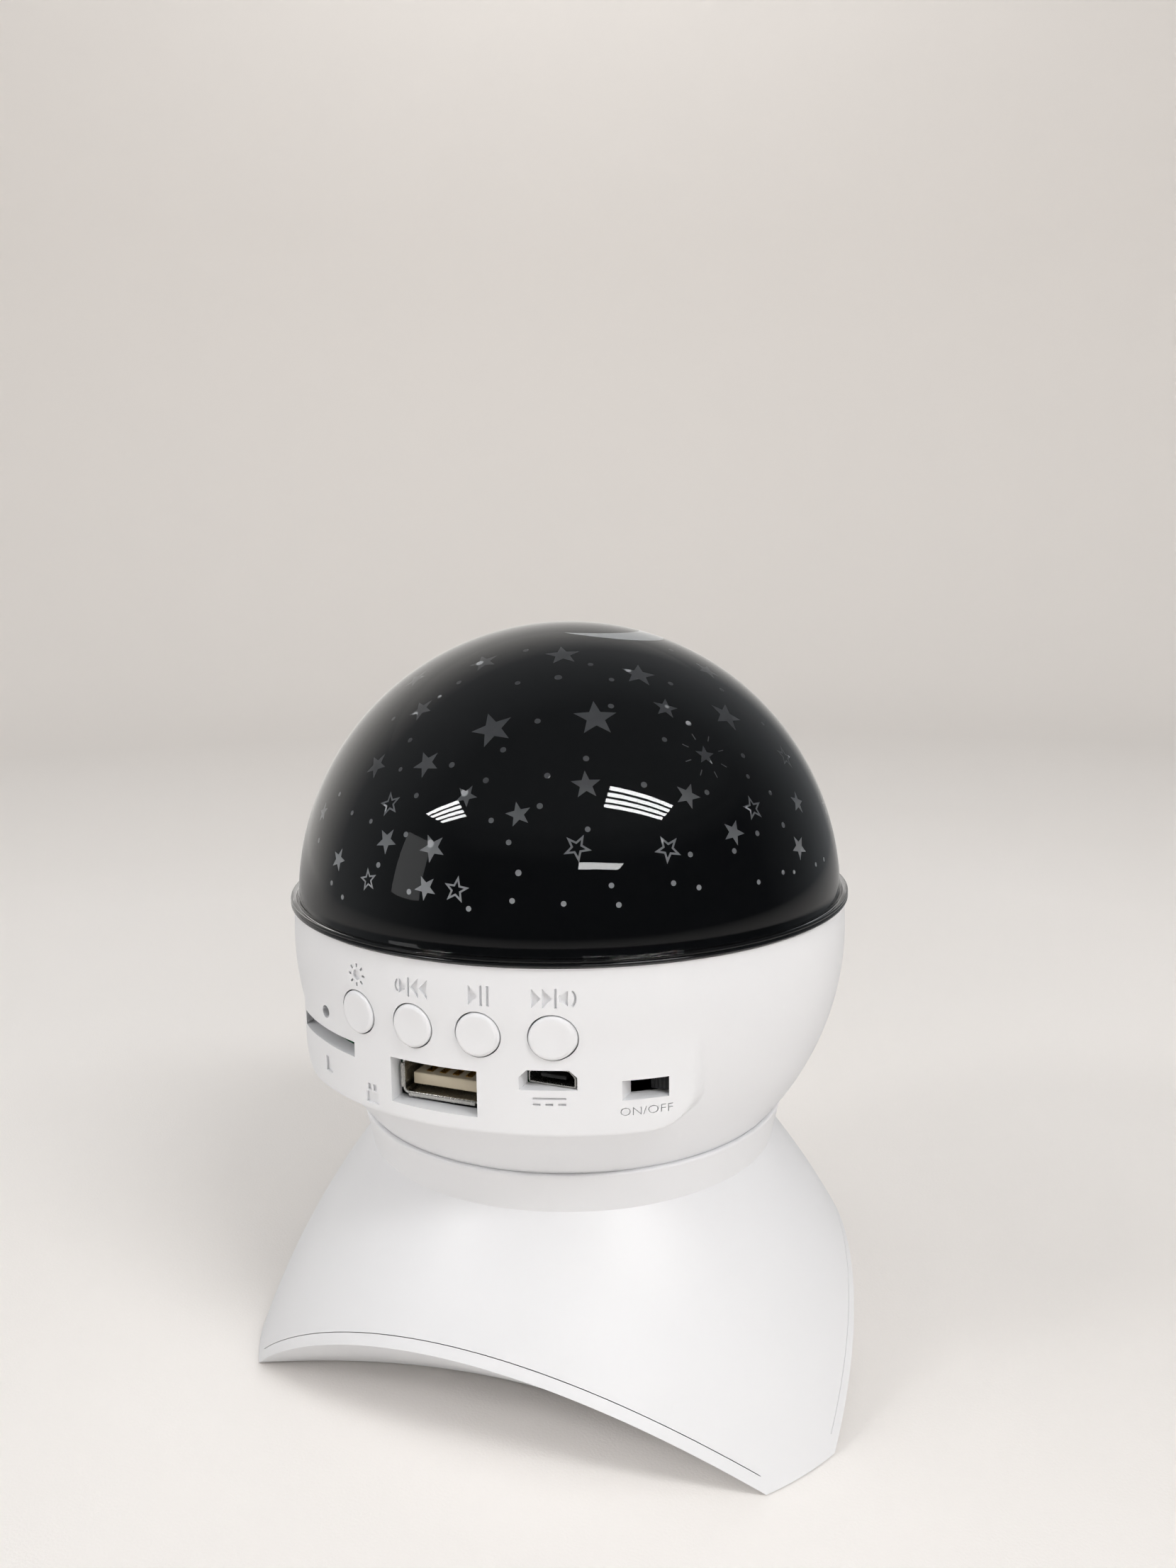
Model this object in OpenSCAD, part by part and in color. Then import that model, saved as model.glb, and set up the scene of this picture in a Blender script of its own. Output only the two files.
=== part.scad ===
// Star night light projector. A black star dome turns on a white ball, and the ball
// sits in a bell-shaped stand with three feet and a loudspeaker that fires downwards.
// Millimetres, Z up. The origin is on the floor, on the dome's axis, and the control
// panel faces -Y.

/* [Dome] */
// Outer radius of the clear dome
dome_r = 46.7; // [40:0.1:56]
// Wall of the clear dome
dome_wall = 1.2; // [0.8:0.1:2]
// Thickness of the black printed film inside the dome
film_t = 0.4; // [0.2:0.1:0.8]
// How far the dome's flange stands out past the dome
flange_w = 1.3; // [0.6:0.1:2.5]
// Height of the dome's flange, and of the black ring under it
flange_h = 0.6; // [0.4:0.1:1.5]
// Largest radius of a star window in the film
star_r = 2.6; // [1.5:0.1:3.5]

/* [Ball] */
// How far the ball lies inside the black ring
bowl_inset = 0.4; // [0.2:0.1:1.5]
// Height of the black ring above the ball's centre
bowl_rise = 5.6; // [3:0.1:9]
// Radius of the flat that the ball stands on
base_r = 29.4; // [26:0.1:34]
// Wall of the ball
bowl_wall = 2.0; // [1.6:0.1:2.6]

/* [Control panel] */
// Half the width of the raised panel
panel_half_w = 34; // [33:0.1:36]
// Height of the panel
panel_h = 26; // [25:0.1:30]
// Radius of the panel's lower corners
panel_corner = 6; // [2:0.1:9]
// How far the panel's face lies inside the black ring
panel_inset = 0.8; // [0.4:0.1:2]
// Wall of the panel
panel_wall = 3.0; // [2:0.1:4]

/* [Buttons] */
// Diameter of a button
button_d = 6.6; // [5:0.1:7.4]
// Distance between buttons
button_pitch = 10.7; // [10:0.1:12]
// How far the buttons are below the black ring
button_drop = 10.5; // [9.5:0.1:11]
// How far a button stands out of the panel
button_proud = 0.6; // [0.55:0.05:1.5]
// Gap round a button
button_gap = 0.2; // [0.1:0.05:0.4]
// Travel of a button
button_travel = 0.5; // [0.3:0.05:0.6]

/* [Sockets] */
// Place of the USB socket across the panel
usb_x = -2.35; // [-4:0.05:-1]
// Width of the USB socket's window
usb_w = 14.7; // [14:0.1:15.5]
// Height of the USB socket's window
usb_h = 7.0; // [6.6:0.1:8]
// Place of the micro USB socket across the panel
micro_x = 15.2; // [14:0.1:17]
// Place of the power switch across the panel
switch_x = 27.75; // [27:0.05:28.5]
// Travel of the power switch
switch_travel = 2.2; // [1.5:0.1:2.4]
// Place of the memory card slot across the panel
card_x = -25.1; // [-26:0.1:-24.6]
// Width of the memory card slot
card_w = 15.4; // [13:0.1:15.6]

/* [Stand] */
// Height of the stand's deck
stand_h = 38.6; // [32:0.1:47]
// Radius of the stand at its feet
foot_r = 57.5; // [52:0.1:69]
// How far the stand's side bulges out of a straight line
flare_bulge = 1.7; // [0.8:0.1:3]
// Wall of the stand
stand_wall = 2.0; // [1.6:0.1:3]
// Thickness of the bottom cover
cover_t = 1.8; // [1.4:0.1:2.4]
// Slope of the underside at each arch, in degrees
arch_slope = 38; // [34:0.5:42]
// Radius of each arch
arch_r = 151; // [120:1:190]
// Distance from the axis at which an arch meets the floor
arch_in = 23.3; // [22:0.1:25]
// Height of the neck ring
neck_h = 6.6; // [4:0.1:8]
// Lip of the neck ring
neck_lip = 0.8; // [0.5:0.1:1.5]
// Height of the foot pads under the bottom
pad_h = 1.0; // [0.6:0.1:2]

/* [Drive] */
// Module of the gears
gear_m = 1.0; // [0.8:0.1:1.2]
// Teeth of the motor's pinion
pinion_teeth = 12; // [11:1:14]
// Gap between parts that turn against each other
run_gap = 0.3; // [0.2:0.05:0.5]

/* [Power and sound] */
// Radius of the battery cell
cell_r = 9.1; // [7:0.1:9.2]
// Length of the battery cell
cell_len = 65; // [50:0.5:66]
// Radius of the loudspeaker
speaker_r = 20; // [18:0.1:21]

/* [Hidden] */
$fn = 96;
eps = 0.01;
big = 200;
fit_gap = 0.1;

// Heights that follow from the stand, the ball and the dome
rim_r = dome_r + flange_w;
bowl_r = rim_r - bowl_inset;
bowl_z = stand_h + sqrt(bowl_r * bowl_r - base_r * base_r);
rim_z = bowl_z + bowl_rise;
ring_top = rim_z + flange_h;
flange_top = ring_top + flange_h;
dome_drop = 0.45;
dome_z = rim_z - dome_drop;
floor_z = stand_h + bowl_wall;
film_r = dome_r - dome_wall - fit_gap / 2;
// Rings of star windows: height angle, number of stars, share of star_r, turn
star_rows = [
    [13, 15, 0.7, 0], [26, 13, 0.9, 9], [41, 11, 1, 0], [57, 8, 0.9, 20], [73, 4, 0.8, 5]
];
// Rings of round windows: height angle, number of dots, turn
dot_rows = [[8, 12, 12], [34, 12, 15], [49, 9, 20]];
dot_r = 0.6;
bowl_in = bowl_r - bowl_wall;

// Deck that carries the lamp, the motor and the turning ring
deck_drop = 5.2;
deck_t = 1.8;
deck_z = rim_z - deck_drop;
deck_top = deck_z + deck_t;
deck_r = bowl_in - 0.4;
guide_h = 3;
guide_w = 1.6;
deck_angles = [45, 135, -145, -35];
deck_screw_r = deck_r - 3.2;
deck_head_r = 2.2;
deck_head_h = 1.1;
deck_shank_r = 1.1;
deck_screw_len = 6;
deck_boss_h = 9;
cable_hole_r = 4;
reflector_t = 1;

// Gears: the ring has inner teeth, and a tooth of each points along +Y
gear_z = deck_top + run_gap;
gear_r = deck_r - 0.6;
ring_back = 3.3;
ring_teeth = floor(2 * (gear_r - ring_back - 1.25 * gear_m) / gear_m);
ring_pitch = ring_teeth * gear_m / 2;
ring_tip = ring_pitch - 0.75 * gear_m;
pinion_pitch = pinion_teeth * gear_m / 2;
pinion_tip = pinion_pitch + 0.95 * gear_m;
pinion_y = ring_pitch - pinion_pitch;
pinion_h = guide_h - 2 * run_gap;
backlash = 0.3;
pressure_angle = 20;
flank_steps = 4;
guide_r = ring_tip - 0.4;
shaft_r = 1.5;
shaft_seat = 3;

// Motor under the deck, with its output off centre
motor_r = 12;
motor_y = pinion_y - 6;
gearbox_h = 6;
motor_h = 10;
ear_x = motor_r + 3.5;
ear_r = 3.2;
ear_t = 1.5;
ear_boss_r = 2.8;
ear_boss_h = 2.4;
ear_screw_r = 1;
ear_screw_in = 1.5;
ear_head_r = 2.2;
ear_head_h = 1.4;
end_cap_r = 3.5;

// Lamp in the middle of the dome
post_r = 10;
post_wall = 1.6;
post_h = 7;
post_cap_t = 1.2;
post_hole_r = 5;
led_at = 4.6;
lens_t = 0.6;
led_board_t = 1.2;
led_r = 2.4;
led_h = 2.2;

// Panel and boards
panel_r = rim_r - panel_inset;
panel_in = panel_r - panel_wall;
panel_z = rim_z - panel_h;
button_z = rim_z - button_drop;
guide_y = panel_r - 9.2;
guide_pad_r = 4.9;
flange_y = guide_y - run_gap;
button_flange_r = 3.9;
button_flange_t = 1;
tact_w = 6;
tact_t = 3.3;
plunger_r = 1.6;
plunger_len = 1.5;
plunger_in = 0.7;
tact_y = flange_y - button_flange_t - plunger_len;
button_board_y = tact_y - tact_t;
button_board_t = 1.2;
button_xs = [for (i = [0:3]) (i - 1.5) * button_pitch];
board_t = 1.5;
board_z = rim_z - 18.25;
board_half_w = panel_half_w - bowl_wall - 0.5;
battery_y = 4;
battery_lift = 4.8;
battery_z = floor_z + cell_r + battery_lift;
holder_wall = 1;
holder_xs = [-21, 15];
holder_w = 6;
holder_floor = 1.6;
board_back = -(battery_y - cell_r) + 1.9;
board_front_r = panel_in - 0.4;
board_posts = [[-12, 11.2 - panel_in], [8, 11.2 - panel_in],
               [-27, -board_back - 3], [27, -board_back - 3]];
board_post_r = 2.8;
board_screw_r = 1;
board_screw_in = 4.5;
board_head_r = 2.2;
board_head_h = 1.4;

// USB socket, mounted upside down in a notch of the board
usb_shell_w = 13.1;
usb_shell_h = 5.7;
usb_shell_len = 14;
usb_metal = 0.35;
usb_z = board_z - 1.4;
usb_y = depth_at(usb_x, panel_r) - 3.1;
tongue_w = 11.1;
tongue_t = 1.84;
tongue_back = 1.3;
tongue_z = usb_z - usb_shell_h / 2 + usb_metal + 0.75;

// Micro USB socket on the board
micro_w = 7.5;
micro_h = 2.6;
micro_len = 5;
micro_metal = 0.25;
micro_win_w = 8;
micro_win_h = 3;
micro_y = depth_at(micro_x, panel_r) - 3.1;
micro_z = board_z + micro_h / 2;

// Card slot and socket on the board
card_h = 2.4;
card_z = board_z + card_h / 2 + 0.1;
card_socket_w = card_w - 0.8;
card_socket_h = 1.9;
card_socket_len = 14;
card_y = depth_at(abs(card_x) + card_w / 2, panel_in) - 0.4;

// Slide switch in a notch at the board's corner
switch_z = board_z - 0.6;
switch_win_w = 5.7;
switch_win_h = 3;
case_w = 7.8;
case_h = 3.6;
case_d = 3.5;
case_wall = 0.4;
case_y = depth_at(switch_x + case_w / 2, panel_in) - 0.4;
nub_w = 2.8;
nub_h = 2.1;
nub_x = switch_x + switch_travel / 2;
nub_y = depth_at(nub_x + nub_w / 2, panel_r) - 0.9;
slider_w = 4;
slider_h = 2.7;
slider_d = 1;
slider_y = case_y - case_wall - fit_gap;

// Indicator light beside the first button
indicator_x = -24.8;
indicator_z = button_z - 2.5;
indicator_r = 1;

// Button board, on two legs on the main board
button_board_x0 = indicator_x - 3.7;
button_board_x1 = button_xs[3] + 4.4;
button_board_z0 = board_z + 3.8;
button_board_z1 = deck_z - 0.4;
leg_w = 1.8;
leg_xs = [board_posts[0][0] - leg_w - 2.4, board_posts[1][0] + 4];

// Stand
neck_z = stand_h + neck_h;
neck_in = round_at(neck_z, bowl_r) + fit_gap;
neck_top_r = neck_in + neck_lip - fit_gap;
neck_r = neck_top_r - 1.3;
flare_dr = foot_r - neck_r;
flare_chord = sqrt(flare_dr * flare_dr + stand_h * stand_h);
flare_r = flare_chord * flare_chord / (8 * flare_bulge) + flare_bulge / 2;
flare_half = flare_chord / 2;
flare_off = sqrt(flare_r * flare_r - flare_half * flare_half);
flare_cx = (neck_r + foot_r) / 2 - flare_off * stand_h / flare_chord;
flare_cz = stand_h / 2 - flare_off * flare_dr / flare_chord;
tip_z = 0.2;
rim_w = 2.2;
deck_hole_r = 8;
foot_angles = [-30, 90, 210];
arch_angles = [-90, 30, 150];
boss_r = 3.4;
boss_gap = 1.5;
bowl_screw_at = (cell_r + holder_wall + boss_gap + boss_r - battery_y) / sin(30);
bowl_screw_len = 5;
needle_r = 1.25;
needle_head_r = 2.8;
needle_head_h = 1.8;
post_at = 34;
cover_post_r = 4;
cover_screw_len = 9;
cover_head_r = 2.6;
cover_head_h = 1.6;
cover_head_sink = 0.8;
pad_at = 48;
pad_r = 5;
cover_boss_h = 3;
cover_z = pad_h + cover_t;

// Loudspeaker on the bottom cover
gasket_t = 1.2;
speaker_z = cover_z + gasket_t;
rim_t = 1;
basket_h = 9;
basket_r = 10.5;
magnet_r = 12.5;
magnet_h = 7;
speaker_ear_at = 23.6;
speaker_ear_r = 3;
speaker_land = 3;
speaker_screw_r = 0.85;
speaker_head_r = 2;
speaker_head_h = 1.2;
vent_r = 2.4;
coil_r = 6;
slot_w = 1.8;
slot_pitch = 4;
slot_field_r = 14.5;

// Distance of a round surface of radius r from the X axis at x
function depth_at(x, r) = sqrt(r * r - x * x);
// Radius of the ball's surface, or one inside it, at height z
function round_at(z, r) = sqrt(r * r - (z - bowl_z) * (z - bowl_z));
// Involute of an angle in degrees, itself in degrees
function involute(a) = tan(a) * 180 / PI - a;
function flank_angle(r, base) = r > base ? involute(acos(base / r)) : 0;
// Half the angle that a tooth takes up at radius r
function tooth_half(r, teeth, pitch, slack) =
    90 / teeth - slack / (2 * pitch) * 180 / PI + involute(pressure_angle)
    - flank_angle(r, pitch * cos(pressure_angle));
function at_angle(r, a) = [r * cos(a), r * sin(a)];

// Outline of a gear with its first tooth along +Y
module gear_2d(teeth, root, tip, slack) {
    pitch = teeth * gear_m / 2;
    radii = [for (i = [0:flank_steps]) root + (tip - root) * i / flank_steps];
    polygon([for (t = [0:teeth - 1]) let (a = 90 + t * 360 / teeth)
        each concat(
            [for (i = [0:flank_steps])
                at_angle(radii[i], a - tooth_half(radii[i], teeth, pitch, slack))],
            [for (i = [flank_steps:-1:0])
                at_angle(radii[i], a + tooth_half(radii[i], teeth, pitch, slack))]
        )]);
}

module star_2d(r) {
    polygon([for (i = [0:9]) at_angle(i % 2 == 0 ? r : r * 0.42, 90 + i * 36)]);
}

module slab(x0, x1, y0, y1, z0, z1) {
    translate([x0, y0, z0]) cube([x1 - x0, y1 - y0, z1 - z0]);
}

module tube(r_out, r_in, z0, z1) {
    translate([0, 0, z0]) difference() {
        cylinder(r = r_out, h = z1 - z0);
        translate([0, 0, -1]) cylinder(r = r_in, h = z1 - z0 + 2);
    }
}

module disc(r, z0, z1) {
    translate([0, 0, z0]) cylinder(r = r, h = z1 - z0);
}

// A round bar along Y, at x and z, from y0 to y1 in front of the axis
module bar_y(x, z, r, y0, y1) {
    translate([x, -y0, z]) rotate([90, 0, 0]) cylinder(r = r, h = y1 - y0);
}

// A block behind the panel, from y0 to y1 in front of the axis
module block_y(x, z, w, h, y0, y1) {
    slab(x - w / 2, x + w / 2, -y1, -y0, z - h / 2, z + h / 2);
}

module around(angles, r) {
    for (a = angles) rotate(a) translate([r, 0, 0]) children();
}

// A screw that points up, with its head's underside at z = 0
module screw(head_r, head_h, shank_r, len) {
    difference() {
        union() {
            translate([0, 0, -head_h]) cylinder(r = head_r, h = head_h);
            cylinder(r = shank_r, h = len);
        }
        for (a = [0, 90]) rotate(a)
            slab(-head_r * 0.6, head_r * 0.6, -0.3, 0.3, -head_h - 1, -head_h * 0.5);
    }
}

module half_ball_shell(r_out, r_in, centre_z, z0) {
    intersection() {
        translate([0, 0, centre_z]) difference() {
            sphere(r = r_out);
            sphere(r = r_in);
        }
        slab(-big, big, -big, big, z0, z0 + big);
    }
}

// ---- Turning dome ----

module dome_shell() {
    color([0.75, 0.77, 0.8, 0.35]) union() {
        half_ball_shell(dome_r, dome_r - dome_wall, dome_z, ring_top);
        tube(rim_r, dome_r - dome_wall / 2, ring_top, flange_top);
    }
}

module star_film() {
    color([0.03, 0.03, 0.035]) difference() {
        half_ball_shell(film_r, film_r - film_t, dome_z, ring_top);
        for (row = star_rows, i = [0:row[1] - 1])
            translate([0, 0, dome_z]) rotate([0, 90 - row[0], row[3] + i * 360 / row[1]])
                translate([0, 0, film_r - 3]) rotate(i * 25) linear_extrude(5) star_2d(star_r * row[2]);
        for (row = dot_rows, i = [0:row[1] - 1])
            translate([0, 0, dome_z]) rotate([0, 90 - row[0], row[2] + i * 360 / row[1]])
                translate([0, 0, film_r - 3]) cylinder(r = dot_r, h = 5);
    }
}

module dome_ring() {
    color([0.05, 0.05, 0.055]) tube(rim_r, gear_r - 2.6, rim_z, ring_top);
}

module gear_ring() {
    color([0.85, 0.85, 0.83]) translate([0, 0, gear_z]) linear_extrude(rim_z - gear_z) difference() {
        circle(r = gear_r);
        gear_2d(ring_teeth, ring_tip, ring_pitch + 1.25 * gear_m, -backlash / 2);
    }
}

// ---- Drive ----

module drive_pinion() {
    color([0.92, 0.92, 0.88]) translate([0, pinion_y, gear_z]) difference() {
        linear_extrude(pinion_h) gear_2d(pinion_teeth, pinion_pitch - 1.2 * gear_m, pinion_tip, backlash / 2);
        translate([0, 0, -1]) cylinder(r = shaft_r, h = pinion_h + 2);
    }
}

module output_shaft() {
    color([0.7, 0.7, 0.72]) translate([0, pinion_y, deck_z - shaft_seat + run_gap])
        cylinder(r = shaft_r, h = gear_z + pinion_h - deck_z + shaft_seat - run_gap);
}

module motor_gearbox() {
    color([0.3, 0.3, 0.32]) difference() {
        union() {
            translate([0, motor_y, 0]) disc(motor_r, deck_z - gearbox_h, deck_z);
            slab(-ear_x, ear_x, motor_y - ear_r, motor_y + ear_r, deck_z - ear_t, deck_z);
            for (x = [-ear_x, ear_x]) translate([x, motor_y, 0]) disc(ear_r, deck_z - ear_t, deck_z);
        }
        translate([0, pinion_y, 0]) disc(shaft_r + 0.05, deck_z - shaft_seat, deck_z + 1);
        for (x = [-ear_x, ear_x]) translate([x, motor_y, 0])
            disc(ear_screw_r + 0.3, deck_z - 5, deck_z + 1);
    }
}

module motor_can() {
    color([0.72, 0.72, 0.74]) translate([0, motor_y, 0]) union() {
        disc(motor_r - 0.4, deck_z - gearbox_h - motor_h, deck_z - gearbox_h);
        disc(end_cap_r, deck_z - gearbox_h - motor_h - 1, deck_z - gearbox_h - motor_h + 1);
    }
}

module motor_screws() {
    color([0.6, 0.6, 0.62]) for (x = [-ear_x, ear_x])
        translate([x, motor_y, deck_z - ear_t])
            screw(ear_head_r, ear_head_h, ear_screw_r, ear_t + deck_t + ear_screw_in);
}

// ---- Lamp ----

module lamp_deck() {
    color([0.93, 0.93, 0.92]) difference() {
        union() {
            disc(deck_r, deck_z, deck_top);
            tube(guide_r, guide_r - guide_w, deck_z, deck_top + guide_h);
            for (x = [-ear_x, ear_x]) translate([x, motor_y, 0])
                disc(ear_boss_r, deck_z, deck_top + ear_boss_h);
        }
        translate([0, pinion_y, 0]) disc(shaft_r + 1, deck_z - 1, deck_top + guide_h + 1);
        translate([0, pinion_y, 0]) disc(pinion_tip + 0.6, deck_top, deck_top + guide_h + 1);
        for (x = [-ear_x, ear_x]) translate([x, motor_y, 0])
            disc(ear_screw_r, deck_z - 1, deck_top + ear_screw_in + 0.3);
        around(deck_angles, deck_screw_r) {
            disc(deck_shank_r + 0.2, deck_z - 1, deck_top + 1);
            disc(deck_head_r + 0.1, deck_top - deck_head_h - 0.1, deck_top + 1);
        }
        disc(cable_hole_r, deck_z - 1, deck_top + 1);
    }
}

module deck_screws() {
    color([0.6, 0.6, 0.62]) around(deck_angles, deck_screw_r)
        translate([0, 0, deck_top - deck_head_h - 0.1]) mirror([0, 0, 1])
            screw(deck_head_r, deck_head_h, deck_shank_r, deck_screw_len);
}

module reflector_plate() {
    color([0.97, 0.97, 0.97])
        tube(guide_r - 0.2, post_r + 0.4, deck_top + guide_h, deck_top + guide_h + reflector_t);
}

module lamp_post() {
    color([0.95, 0.95, 0.95]) union() {
        tube(post_r, post_r - post_wall, deck_top, deck_top + post_h);
        tube(post_r, post_hole_r, deck_top + post_h - post_cap_t, deck_top + post_h);
    }
}

module led_board() {
    color([0.9, 0.92, 0.9]) disc(post_r - 0.9, deck_top + post_h, deck_top + post_h + led_board_t);
}

module star_leds() {
    z0 = deck_top + post_h + led_board_t;
    color([1, 0.93, 0.6]) around([45, 135, 225, 315], led_at) {
        disc(led_r, z0, z0 + led_h);
        translate([0, 0, z0 + led_h]) sphere(r = led_r - 0.2);
    }
}

module lens_cap() {
    color([0.9, 0.92, 0.95, 0.4])
        half_ball_shell(post_r, post_r - lens_t, deck_top + post_h, deck_top + post_h);
}

// ---- Ball ----

module ball_solid() {
    intersection() {
        translate([0, 0, bowl_z]) sphere(r = bowl_r);
        slab(-big, big, -big, big, stand_h, rim_z - run_gap);
    }
}

// Front view of the raised panel, inset by d on its sides and its lower edge
module panel_outline(d) {
    w = panel_half_w - d;
    c = panel_corner - d / 2;
    lower = panel_z + d;
    translate([-w + c, lower]) square([2 * (w - c), rim_z - lower]);
    translate([-w, lower + c]) square([2 * w, rim_z - lower - c]);
    for (x = [-w + c, w - c]) translate([x, lower + c]) circle(r = c);
}

module panel_block(d, r) {
    intersection() {
        rotate([90, 0, 0]) linear_extrude(big) panel_outline(d);
        disc(r, panel_z - 1, rim_z - run_gap);
    }
}

module bowl_hollow() {
    intersection() {
        translate([0, 0, bowl_z]) sphere(r = bowl_in);
        slab(-big, big, -big, big, floor_z, rim_z + 1);
    }
    panel_block(bowl_wall, panel_in);
    disc(deck_r + 0.2, deck_z, rim_z + 1);
}

module bowl_posts() {
    intersection() {
        union() {
            around(deck_angles, deck_screw_r) disc(boss_r, deck_z - deck_boss_h, deck_z);
            for (p = board_posts) translate([p[0], p[1], 0])
                disc(board_post_r, floor_z - 1, board_z - board_t);
            around(foot_angles, bowl_screw_at) disc(boss_r, stand_h, floor_z + bowl_screw_len);
        }
        union() {
            translate([0, 0, bowl_z]) sphere(r = bowl_r - 0.5);
            disc(deck_r, deck_z - deck_boss_h - 1, deck_z);
        }
    }
}

module button_guides() {
    intersection() {
        for (x = button_xs) bar_y(x, button_z, guide_pad_r, guide_y, panel_r);
        disc(panel_in + 1, panel_z, deck_z);
    }
    intersection() {
        block_y(card_x, card_z + 0.5, card_w + 1.6, card_h + 1, card_y + run_gap, panel_r);
        disc(panel_in + 1, panel_z, deck_z);
    }
}

module panel_windows() {
    for (x = button_xs) bar_y(x, button_z, button_d / 2 + button_gap, guide_y - 1, panel_r + 1);
    bar_y(indicator_x, indicator_z, indicator_r, panel_in / 2, panel_r + 1);
    block_y(usb_x, usb_z, usb_w, usb_h, panel_in / 2, panel_r + 1);
    block_y(micro_x, micro_z, micro_win_w, micro_win_h, panel_in / 2, panel_r + 1);
    block_y(card_x, card_z, card_w, card_h, card_y - 2, panel_r + 1);
    block_y(switch_x, switch_z, switch_win_w, switch_win_h, panel_in / 2, panel_r + 1);
}

module bowl_shell() {
    color([0.94, 0.94, 0.95]) difference() {
        union() {
            difference() {
                union() {
                    ball_solid();
                    panel_block(0, panel_r);
                }
                bowl_hollow();
            }
            bowl_posts();
            button_guides();
        }
        panel_windows();
        disc(deck_hole_r, stand_h - 1, floor_z + 1);
        around(deck_angles, deck_screw_r) disc(deck_shank_r, deck_z - deck_screw_len, deck_z + 1);
        for (p = board_posts) translate([p[0], p[1], 0])
            disc(board_screw_r, board_z - board_t - board_screw_in - 1.5, board_z);
        around(foot_angles, bowl_screw_at) disc(needle_r, stand_h - 1, floor_z + bowl_screw_len - 1);
    }
}

module bowl_screws() {
    color([0.6, 0.6, 0.62]) around(foot_angles, bowl_screw_at)
        translate([0, 0, stand_h - stand_wall])
            screw(needle_head_r, needle_head_h, needle_r, stand_wall + bowl_screw_len);
}

// ---- Buttons ----

// The cap's face follows the panel's curve
module button(i) {
    x = button_xs[i];
    color([0.95, 0.95, 0.96]) intersection() {
        union() {
            bar_y(x, button_z, button_d / 2, flange_y - button_flange_t, rim_r + 5);
            bar_y(x, button_z, button_flange_r, flange_y - button_flange_t, flange_y);
        }
        disc(panel_r + button_proud, 0, big);
    }
}

module plunger(i) {
    color([0.1, 0.1, 0.1])
        bar_y(button_xs[i], button_z, plunger_r, tact_y - plunger_in, flange_y - button_flange_t);
}

module lamp_button() button(0);
module previous_button() button(1);
module play_button() button(2);
module next_button() button(3);
module lamp_plunger() plunger(0);
module previous_plunger() plunger(1);
module play_plunger() plunger(2);
module next_plunger() plunger(3);

module tact_switches() {
    color([0.75, 0.75, 0.77]) for (x = button_xs) difference() {
        block_y(x, button_z, tact_w, tact_w, button_board_y, tact_y);
        bar_y(x, button_z, plunger_r + run_gap, tact_y - plunger_in - button_travel - run_gap, tact_y + 1);
    }
}

module button_board() {
    y1 = button_board_y;
    y0 = y1 - button_board_t;
    color([0.1, 0.4, 0.2]) union() {
        slab(button_board_x0, button_board_x1, -y1, -y0, button_board_z0, button_board_z1);
        for (x = leg_xs) slab(x, x + leg_w, -y1, -y0, board_z, button_board_z0 + 1);
    }
}

module indicator_led() {
    color([0.4, 0.42, 0.5]) bar_y(indicator_x, indicator_z, indicator_r - 0.1, button_board_y, guide_y);
}

// ---- Main board and sockets ----

module main_board() {
    color([0.1, 0.4, 0.2]) difference() {
        intersection() {
            disc(board_front_r, board_z - board_t, board_z);
            slab(-board_half_w, board_half_w, -big, -board_back, 0, big);
        }
        block_y(usb_x, board_z, usb_shell_w, 6, usb_y - usb_shell_len, big);
        slab(switch_x - case_w / 2, board_half_w + 1, -big, case_d - case_y, 0, big);
        for (p = board_posts) translate([p[0], p[1], 0]) disc(board_screw_r + 0.3, 0, big);
    }
}

module board_screws() {
    color([0.6, 0.6, 0.62]) for (p = board_posts) translate([p[0], p[1], board_z])
        mirror([0, 0, 1]) screw(board_head_r, board_head_h, board_screw_r, board_t + board_screw_in);
}

module board_parts() {
    color([0.12, 0.12, 0.13]) {
        slab(-6, 4, -24, -14, board_z, board_z + 1.6);
        slab(9, 15, -27, -21, board_z, board_z + 1.2);
        translate([18, -16, 0]) disc(3.1, board_z, board_z + 7);
        slab(-13.5, -7.5, -14, -9, board_z, board_z + 5);
        slab(7, 13, -14, -9, board_z, board_z + 5);
    }
}

module usb_shell() {
    inner_w = usb_shell_w - 2 * usb_metal;
    inner_h = usb_shell_h - 2 * usb_metal;
    color([0.78, 0.78, 0.8]) difference() {
        block_y(usb_x, usb_z, usb_shell_w, usb_shell_h, usb_y - usb_shell_len, usb_y);
        block_y(usb_x, usb_z, inner_w, inner_h, usb_y - usb_shell_len + usb_metal, usb_y + 1);
    }
}

module usb_tongue() {
    back = usb_y - usb_shell_len + usb_metal;
    color([0.85, 0.8, 0.68]) {
        block_y(usb_x, tongue_z + tongue_t / 2, tongue_w, tongue_t, back, usb_y - tongue_back);
        block_y(usb_x, usb_z, usb_shell_w - 2 * usb_metal, usb_shell_h - 2 * usb_metal, back, back + 3);
    }
}

module usb_contacts() {
    top = tongue_z + tongue_t;
    color([0.85, 0.7, 0.35]) for (i = [-1.5:1.5])
        slab(usb_x + i * 2.2 - 0.5, usb_x + i * 2.2 + 0.5, tongue_back + 1 - usb_y,
             usb_shell_len - usb_metal - 3 - usb_y, top, top + 0.15);
}

module micro_usb_shell() {
    color([0.78, 0.78, 0.8]) difference() {
        block_y(micro_x, micro_z, micro_w, micro_h, micro_y - micro_len, micro_y);
        block_y(micro_x, micro_z, micro_w - 2 * micro_metal, micro_h - 2 * micro_metal,
                micro_y - micro_len + micro_metal, micro_y + 1);
    }
}

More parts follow.
